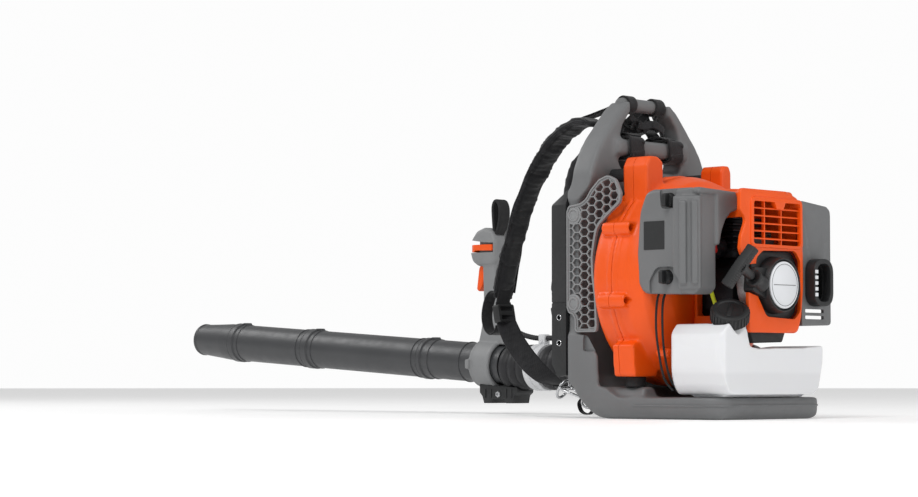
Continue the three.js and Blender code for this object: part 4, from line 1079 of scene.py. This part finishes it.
def tubes():
    tube_piece("tube_rear", "handle_tube", "blower_tube", 32, 226, 12, 206, (120, 196))
    tube_piece("tube_middle", "middle_tube", "mid_tube", 226.4, 522, 18, 500, (236, 492))
    tube_piece("tube_front", "outer_tube", "front_tube", 522.4, 722, 16, 700, (532, 694))
    length = 822 - 722.4
    r, tip = TUBE_R, 28.5
    profile = [(r - 2.5, 0), (r, 0), (r + 0.8, 1), (r + 0.8, 6), (r, 7), (r, 20)]
    profile += [(r + (tip - r) * t ** 0.9, 20 + (length - 26) * t) for t in np.linspace(0.1, 1, 12)]
    profile += [(tip + 1, length - 5), (tip + 1.2, length - 2), (tip + 0.4, length), (tip - 2.5, length),
        (r - 2.5, 20), (r - 2.5, 0)]
    nozzle = turned([(float(a), float(b)) for a, b in profile], on_tube(722.4), TUBE_DIR, 96)
    piece(nozzle, "tube_nozzle", TUBE, "nozzle", body="nozzle_end", angle=30)


def throttle():
    clamp = ring(TUBE_R + 6.8, TUBE_R + 0.5, on_tube(46), TUBE_DIR, 46, 96, 1.6)
    x = TUBE_X
    neck = slab("X", [(530, 116), (590, 120), (582, 150), (578, 190), (580, 254), (552, 254), (546, 190), (536, 150)],
        [2, 2, 30, 40, 6, 6, 40, 30], x - 16.5, x + 16.5)
    head = slab("X", [(548, 250), (590, 250), (603, 258), (609, 276), (605, 296), (593, 310), (575, 316), (558, 311),
        (549, 294)], 12, x - 20, x + 20)
    bevel(neck, 6, 5, 50)
    bevel(head, 7, 5, 50)
    seams = [ring(TUBE_R + 8, TUBE_R + 4, on_tube(s), TUBE_DIR, 3, 96, 0.8) for s in (48, 87)]
    tab = bevel(box(x - TUBE_R - 12, x - TUBE_R - 2, 586, 595, 76, 92), 1.5, 3)
    body = melt(merge(neck, head, clamp, tab, *seams), 1.5, 6)
    slot = prism("X", [(553, 273), (626, 273), (626, 298), (600, 294), (575, 290.5), (553, 289)], x - 24, x + 24)
    slot = cut(slot, box(x - 12, x + 12, 540, 590, 260, 305))
    body = cut(body, rod(TUBE_R + 0.4, on_tube(30), TUBE_DIR, 80, 96), box(x - 8, x + 8, 574, 612, 200, 262), slot,
        rod(5, (x, 520, 142), AHEAD, 30, 32))
    piece(body, "grip_moulding", GREY_LIGHT, "throttle_grip", body="blower_tube", angle=40)
    bow = slab("Z", [(x - 19.4, 556), (x - 12.4, 555), (x - 12.4, 592.5), (x + 12.4, 592.5), (x + 12.4, 555),
        (x + 19.4, 556), (x + 19.4, 598), (x + 10.4, 611), (x - 10.4, 611), (x - 19.4, 598)],
        [2, 2, 3, 3, 2, 2, 8, 8, 8, 8], 274.4, 286.6)
    bow = common(bow, slab("X", [(550, 275.5), (594, 277), (599, 274), (612, 274), (612, 287.5), (600, 287.2),
        (550, 286)], [3, 6, 4, 6, 3, 3, 3], x - 30, x + 30))
    piece(bevel(bow, 1.3, 3), "speed_lever", ORANGE, "cruise_lever", body="cruise")
    trig = slab("X", [(577, 258), (590, 261), (598, 246), (603, 212), (598, 207), (590, 216), (584, 240)],
        [3, 4, 12, 3, 3, 16, 20], x - 6.8, x + 6.8)
    piece(bevel(trig, 2, 3, 40), "trigger_moulding", ORANGE, "throttle_trigger", body="trigger")


def hanger():
    """Rubber loop on the back of the control head, for hanging the tube up."""
    path = spline([(TUBE_X, 554, 304), (TUBE_X, 547, 322), (TUBE_X, 545, 344), (TUBE_X, 549, 357), (TUBE_X, 556, 360),
        (TUBE_X, 561, 350), (TUBE_X, 560, 326), (TUBE_X, 558, 308)], 60)
    loop = sweep(path, flat_section(26, 5.5), RIGHT)
    piece(loop, "head_hanger", RUBBER, body="blower_tube", angle=60)


def bracket():
    x, z = TUBE_X, 18
    block = slab("X", [(497, 50), (497, 36), (504, 31), (507, z), (523, z), (526, z + 7), (553, z + 7), (556, z),
        (573, z), (577, 30), (583, 36), (583, 50)], [1, 4, 3, 2, 2, 2, 2, 2, 2, 3, 4, 1], x - 20, x + 20)
    ribs = [box(x - 21, x - 17, y, y + 3, z + 9, 42) for y in (509, 521, 556, 569)]
    block = bevel(cut(block, rod(TUBE_R + 7.1, on_tube(-10), TUBE_DIR, 110, 96)), 1, 2)
    screw = turned([(0, 0), (5.5, 0), (5.5, 2), (4.4, 3), (2.6, 3), (2.4, 1), (0, 1)], (x - 20, 540, z + 15),
        (-1, 0, 0), 6)
    piece(merge(block, *ribs), "tube_clamp_foot", BLACK, "clamp_bracket", body="blower_tube")
    piece(screw, "clamp_screw", STEEL, body="blower_tube")


def conduits():
    front = spline([(TUBE_X, 529, 142), (178, 514, 138), (177, 496, 132), (178, 478, 128), (TUBE_X, 464, 126.4),
        (TUBE_X, 462.4, 126.4)], 60)
    rear = spline([(TUBE_X, 446.6, 126.4), (TUBE_X, 444, 126.4), (178, 400, 128), (176, 330, 132), (172, 250, 133),
        (158, 170, 134), (150, 110, 136), (147.5, 66, 138), (147, 40, 140)], 150)

    def ribbed(t, n):
        return (1 + 0.05 * math.cos(t * TAU * n),) * 2
    a = piece(sweep(front, circle(0, 0, 4.3, 20), grow=lambda t: ribbed(t, 15)), "throttle_tube_front", HOSE,
        "throttle_conduit_front", body=None, angle=60)
    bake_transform(a)
    b = piece(sweep(rear, circle(0, 0, 4.3, 20), grow=lambda t: ribbed(t, 37)), "throttle_tube_rear", HOSE,
        "throttle_conduit_rear", body=None, angle=60)
    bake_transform(b)


# ---- harness
def inflate(o, voxel, pressure, cap_mm):
    """Cloth simulation that puffs a closed pad out from its slim start, then one subdivision."""
    melt(o, voxel, 1)
    start = np.array([v.co for v in o.data.vertices])
    m = o.modifiers.new("cloth", "CLOTH")
    s = m.settings
    s.use_pressure, s.uniform_pressure_force = True, pressure
    s.effector_weights.gravity = 0
    s.quality, s.mass = 5, 0.3
    s.tension_stiffness = s.compression_stiffness = 12
    s.bending_stiffness = 0.6
    m.collision_settings.use_collision = False
    for f in range(1, 21):
        scene.frame_set(f)
    settle(o)
    now = np.array([v.co for v in o.data.vertices])
    step = now - start
    size = np.linalg.norm(step, axis=1, keepdims=True)
    now = start + step * np.minimum(1.0, cap_mm * MM / np.maximum(size, 1e-9))
    o.data.vertices.foreach_set("co", now.astype(np.float32).ravel())
    scene.frame_set(1)
    sub = o.modifiers.new("subdivision", "SUBSURF")
    sub.levels = 1
    return settle(o)


def sculpt(o, change):
    """Moves each vertex along its normal by change(point in mm, normal) mm."""
    normals = [v.normal.copy() for v in o.data.vertices]
    for v, normal in zip(o.data.vertices, normals):
        v.co = v.co + normal * (change(v.co / MM, normal) * MM)
    o.data.update()
    return o


PAD_SPINE = [(121, 440), (138, 447), (157, 446), (181, 437), (203, 423), (220, 406), (236, 388), (249, 369),
    (262, 346), (275, 322), (288, 289), (299, 256), (309, 219), (317, 181)]


def shoulder_pad(side):
    name = "left" if side < 0 else "right"
    x = side * STRAP_X
    spine = spline(in_plane(x, PAD_SPINE), 90)
    half, thick = PAD_WIDTH / 2 - 3, PAD_THICK / 2 - 2.6
    section = soft([(-half, -thick), (half, -thick), (half, thick), (-half, thick)], 2.4, 3)

    def fullness(t):
        end = min(1.0, 0.82 + min(t, 1 - t) * 4)
        return end * (1 + 0.12 * t), end * (1 + 0.75 * math.exp(-((t - 0.2) / 0.17) ** 2))
    pad = sweep(spine, section, RIGHT, grow=fullness)
    inflate(pad, 4.0, 3.0, 4.0)

    def creases(p, normal):
        n = 1.6 * noise.noise(Vector((p.x * 0.035, p.y * 0.05, p.z * 0.05)) + Vector((side * 7, 0, 0)))
        fold = noise.noise(Vector((p.x * 0.014, (p.y - p.z) * 0.045, side * 3.0)))
        fold += 0.6 * noise.noise(Vector((p.x * 0.03, (p.y - p.z) * 0.13, side * 5.0)))
        near = min(range(0, len(spine), 3), key=lambda i: (spine[i] - Vector((x, p.y, p.z))).length_squared)
        inner = Vector((x, p.y, p.z)) - spine[near]
        edge = abs(p.x - x) - (PAD_WIDTH / 2 - 7)
        groove = -1.3 * math.exp(-(edge / 1.3) ** 2)
        return n + (2.6 * fold if inner.length > 1 else 0) + groove
    sculpt(pad, creases)
    piece(pad, "shoulder_pad_" + name, PAD, "shoulder_strap_" + name, angle=180)
    piping = []
    shape = np.array([v.co for v in pad.data.vertices]) / MM
    for s in (-1, 1):
        line = []
        for p in spine[3:-3]:
            near = shape[np.hypot(shape[:, 1] - p.y, shape[:, 2] - p.z) < 9]
            line.append(Vector((s * ((s * near[:, 0]).max() - 1.1), p.y, p.z)))
        piping.append(sweep(spline(line[::4] + [line[-1]], 84), circle(0, 0, 1.9, 12)))
    piece(merge(*piping), "pad_piping_" + name, PAD, angle=180)


def strap(points, width, thick, name, nodes=(), steps=60, side=RIGHT, closed=False, wobble=0.0):
    path = spline(points, steps, closed)
    if wobble:
        path = [p + Vector((0, 0, wobble * noise.noise(p * 0.04))) for p in path]
    o = sweep(path, flat_section(width, thick), side, closed)
    return piece(o, name, WEB, *nodes, angle=70)


def harness():
    for side, name in ((-1, "left"), (1, "right")):
        shoulder_pad(side)
        x = side * LOOP_X
        wrap = soft([(62.5, 388.5), (101.5, 388.5), (101.5, 421.5), (62.5, 421.5)], 11)
        strap([(x + 1.5 * math.sin(i * 0.9), y, z) for i, (y, z) in enumerate(wrap)], 33, 3, "crossbar_wrap_" + name,
            closed=True, steps=72)
        strap([(x - side * 4, 70, 423), (x - side * 6, 86, 427.5), (x - side * 9, 103, 424),
            (x - side * 14, 108, 410), (x - side * 16, 104, 398)], 26, 2.6, "crossbar_fold_" + name, wobble=2)
        strap([(x, 100, 416), (x, 108, 432), (x * 1.1, 123, 441), (x * 1.3, 135, 446)], 30, 3.4, "pad_link_" + name)
        a = side * 33
        loop = circle(HANDLE_Y, HANDLE_Z, HANDLE_R + 2, 28)
        strap([(a, y, z) for y, z in loop], 21, 2.8, "handle_loop_" + name, closed=True, steps=64,
            nodes=["lifter_strap_" + name])
        strap([(a, 105, 477), (a, 122, 471), (a * 1.2, 142, 463), (a * 1.5, 163, 455), (a * 1.8, 182, 446.5),
            (a * 1.95, 200, 434), (a * 2, 214, 421.5)], 22, 2.6, "lifter_tail_" + name, wobble=1.5, steps=80)
        strap([(a, 104, 471), (a, 112, 462), (a * 0.9, 104, 450), (a * 0.7, 96, 441), (a * 0.4, 90, 446),
            (a * 0.1, 92, 438)], 16, 2.2, "loose_end_" + name, wobble=3)
        line = side * STRAP_X
        low = in_plane(line, ((317, 178), (312, 152), (299, 126), (279, 101), (254, 78), (226, 60), (199, 49)))
        strap(low, 33, 2.8, "lower_webbing_" + name, nodes=["lower_strap_" + name], wobble=1.2, steps=80,
            side=lambda t, s=side: (1, s * 0.75 * math.sin(math.pi * t), -s * 0.7 * math.sin(math.pi * t)))
        slack = in_plane(line, ((321, 194), (336, 194), (347, 180), (352, 158), (348, 138), (337, 128), (326, 132),
            (322, 142)))
        if side < 0:
            strap(slack, 24, 2.8, "strap_loop", wobble=1.0)
        strap(in_plane(line, ((308, 206), (314, 190), (317, 180), (317, 168))), 30, 2.8, "buckle_link_" + name,
            steps=24)
        buckle(side, name)
        hook(side, name)
    tangle = (([(-50, 90, 424), (-40, 100, 440), (-18, 104, 449), (6, 100, 452), (26, 104, 462)], 13),
        ([(48, 92, 424), (40, 84, 438), (18, 86, 446), (-8, 90, 444), (-28, 92, 456)], 12),
        ([(-44, 104, 425), (-26, 108, 436), (0, 98, 438), (24, 94, 446), (34, 90, 458)], 8))
    for k, (points, width) in enumerate(tangle):
        strap(points, width, 2.4, f"lifter_cross_{k}", side=(0.3, 0.5 - 0.4 * k, 0.8), steps=60, wobble=3)


def buckle(side, name):
    a, b = side * STRAP_X - 18, side * STRAP_X + 18
    shell = slab("Y", rect(a, b, -14, 14), 4, -6.3, 6.3)
    slots = [slab("Y", rect(a + 4.5, b - 4.5, z0, z1), 1.2, -10, 10) for z0, z1 in ((-10.5, -3.5), (3.5, 10.5))]
    shell = bevel(cut(shell, *slots), 1.6, 3)
    bars = [rod(2.4, (a + 3, 3.0, z), RIGHT, b - a - 6, 24) for z in (-12, 0, 12)]
    whole = merge(shell, *bars)
    turn = Matrix.Translation(Vector((0, 0.315, 0.16))) @ Matrix.Rotation(math.radians(-11.5), 4, "X")
    piece(moved(whole, turn), "ladder_buckle_" + name, BLACK, "strap_buckle_" + name)


def hook(side, name):
    x = side * STRAP_X
    points = [(x - 12, 190, 46), (x - 13, 180, 41), (x - 5, 160, 33), (x, 140, 24.5), (x + 1, 120, 18)]
    back = [(x + 12, 190, 46), (x + 13, 180, 41), (x + 5, 160, 33), (x + 3, 140, 26), (x + 2, 128, 22)]
    wires = [sweep(spline(points, 50), circle(0, 0, 2.1, 16)), sweep(spline(back, 50), circle(0, 0, 2.1, 16)),
        rod(2.1, (x - 12.5, 189, 45.5), RIGHT, 25, 16)]
    turn = Vector((0, -0.5, 0.8)).normalized()
    eye = [Vector((x + 4, 196, 43)) + Vector(RIGHT) * 11 * math.cos(a) + turn * 15 * math.sin(a)
        for a in np.linspace(0, TAU, 40, endpoint=False)]
    wires.append(sweep(eye, circle(0, 0, 2.2, 16), closed=True))
    lower = [Vector((x - 2, 140 + 13 * math.cos(a), 24 + 9 * math.sin(a))) for a in np.linspace(0, TAU, 40,
        endpoint=False)]
    wires.append(sweep(lower, circle(0, 0, 1.8, 14), closed=True))
    tether = [(x + 2, 150, 34), (x + 6, 165, 22), (x + 4, 158, 9), (x, 140, 6), (x - 3, 128, 14), (x, 126, 28)]
    strap(tether, 9, 2.2, "hook_tether_" + name, side=RIGHT, steps=50)
    piece(merge(*wires), "wire_hook_" + name, STEEL, "strap_hook_" + name)


def cushion():
    start = slab("Y", mirrored([(84, 97), (95, 110), (95, 328), (88, 368), (71, 398), (46, 416)]), 14, 156.5, 177.5)
    inflate(start, 6.0, 4.0, 6.5)

    def quilt(p, normal):
        groove = -2.2 * math.exp(-((abs(p.x) - 34) / 2.0) ** 2)
        for z in (160, 230, 300, 366):
            groove -= 1.8 * math.exp(-((p.z - z) / 2.0) ** 2)
        face = max(0.0, normal.y)
        return face * groove + 0.8 * noise.noise(p * 0.03)
    sculpt(start, quilt)
    piece(start, "back_pad", CUSHION, "back_cushion", angle=180)


# ---- small and inner pieces
def inner_parts():
    rows = [("impeller", "crank", BLACK, 0.5), ("crankshaft", "crank", STEEL, 0.4), ("flywheel", "crank", CAST, 0.8),
        ("crankcase", "frame", CAST_SHADED, 1.2), ("cylinder", "frame", CAST_SHADED, 0.5),
        ("spark_plug", "frame", STEEL, 0.4), ("ignition_coil", "frame", BLACK, 0.8),
        ("carburetor", "frame", CAST_SHADED, 0.8), ("choke_lever", "choke", RED, 0.7),
        ("air_filter_base", "frame", BLACK, 0.6), ("air_filter_element", "frame", PAPER, 0.8),
        ("muffler", "frame", SHEET, 2.0), ("starter_pulley", "pulley", BLACK, 0.4)]
    rows += [(f"damper_{level}_{side}", "frame", RUBBER, 1.0) for level in ("upper", "lower")
        for side in ("left", "right")]
    for row in rows:
        refined(*row)


# ---- build
make_camera()
make_studio()
carrying_frame()
back_plate()
intake_grille(-1)
intake_grille(1)
for build in (fan_housing, filter_cover, engine_cover, starter, muffler_cover, exhaust_oval, fuel_tank, fuel_cap,
        fuel_line, wiring, elbow, hoses, tubes, throttle, hanger, bracket, conduits, cushion, harness, inner_parts):
    build()
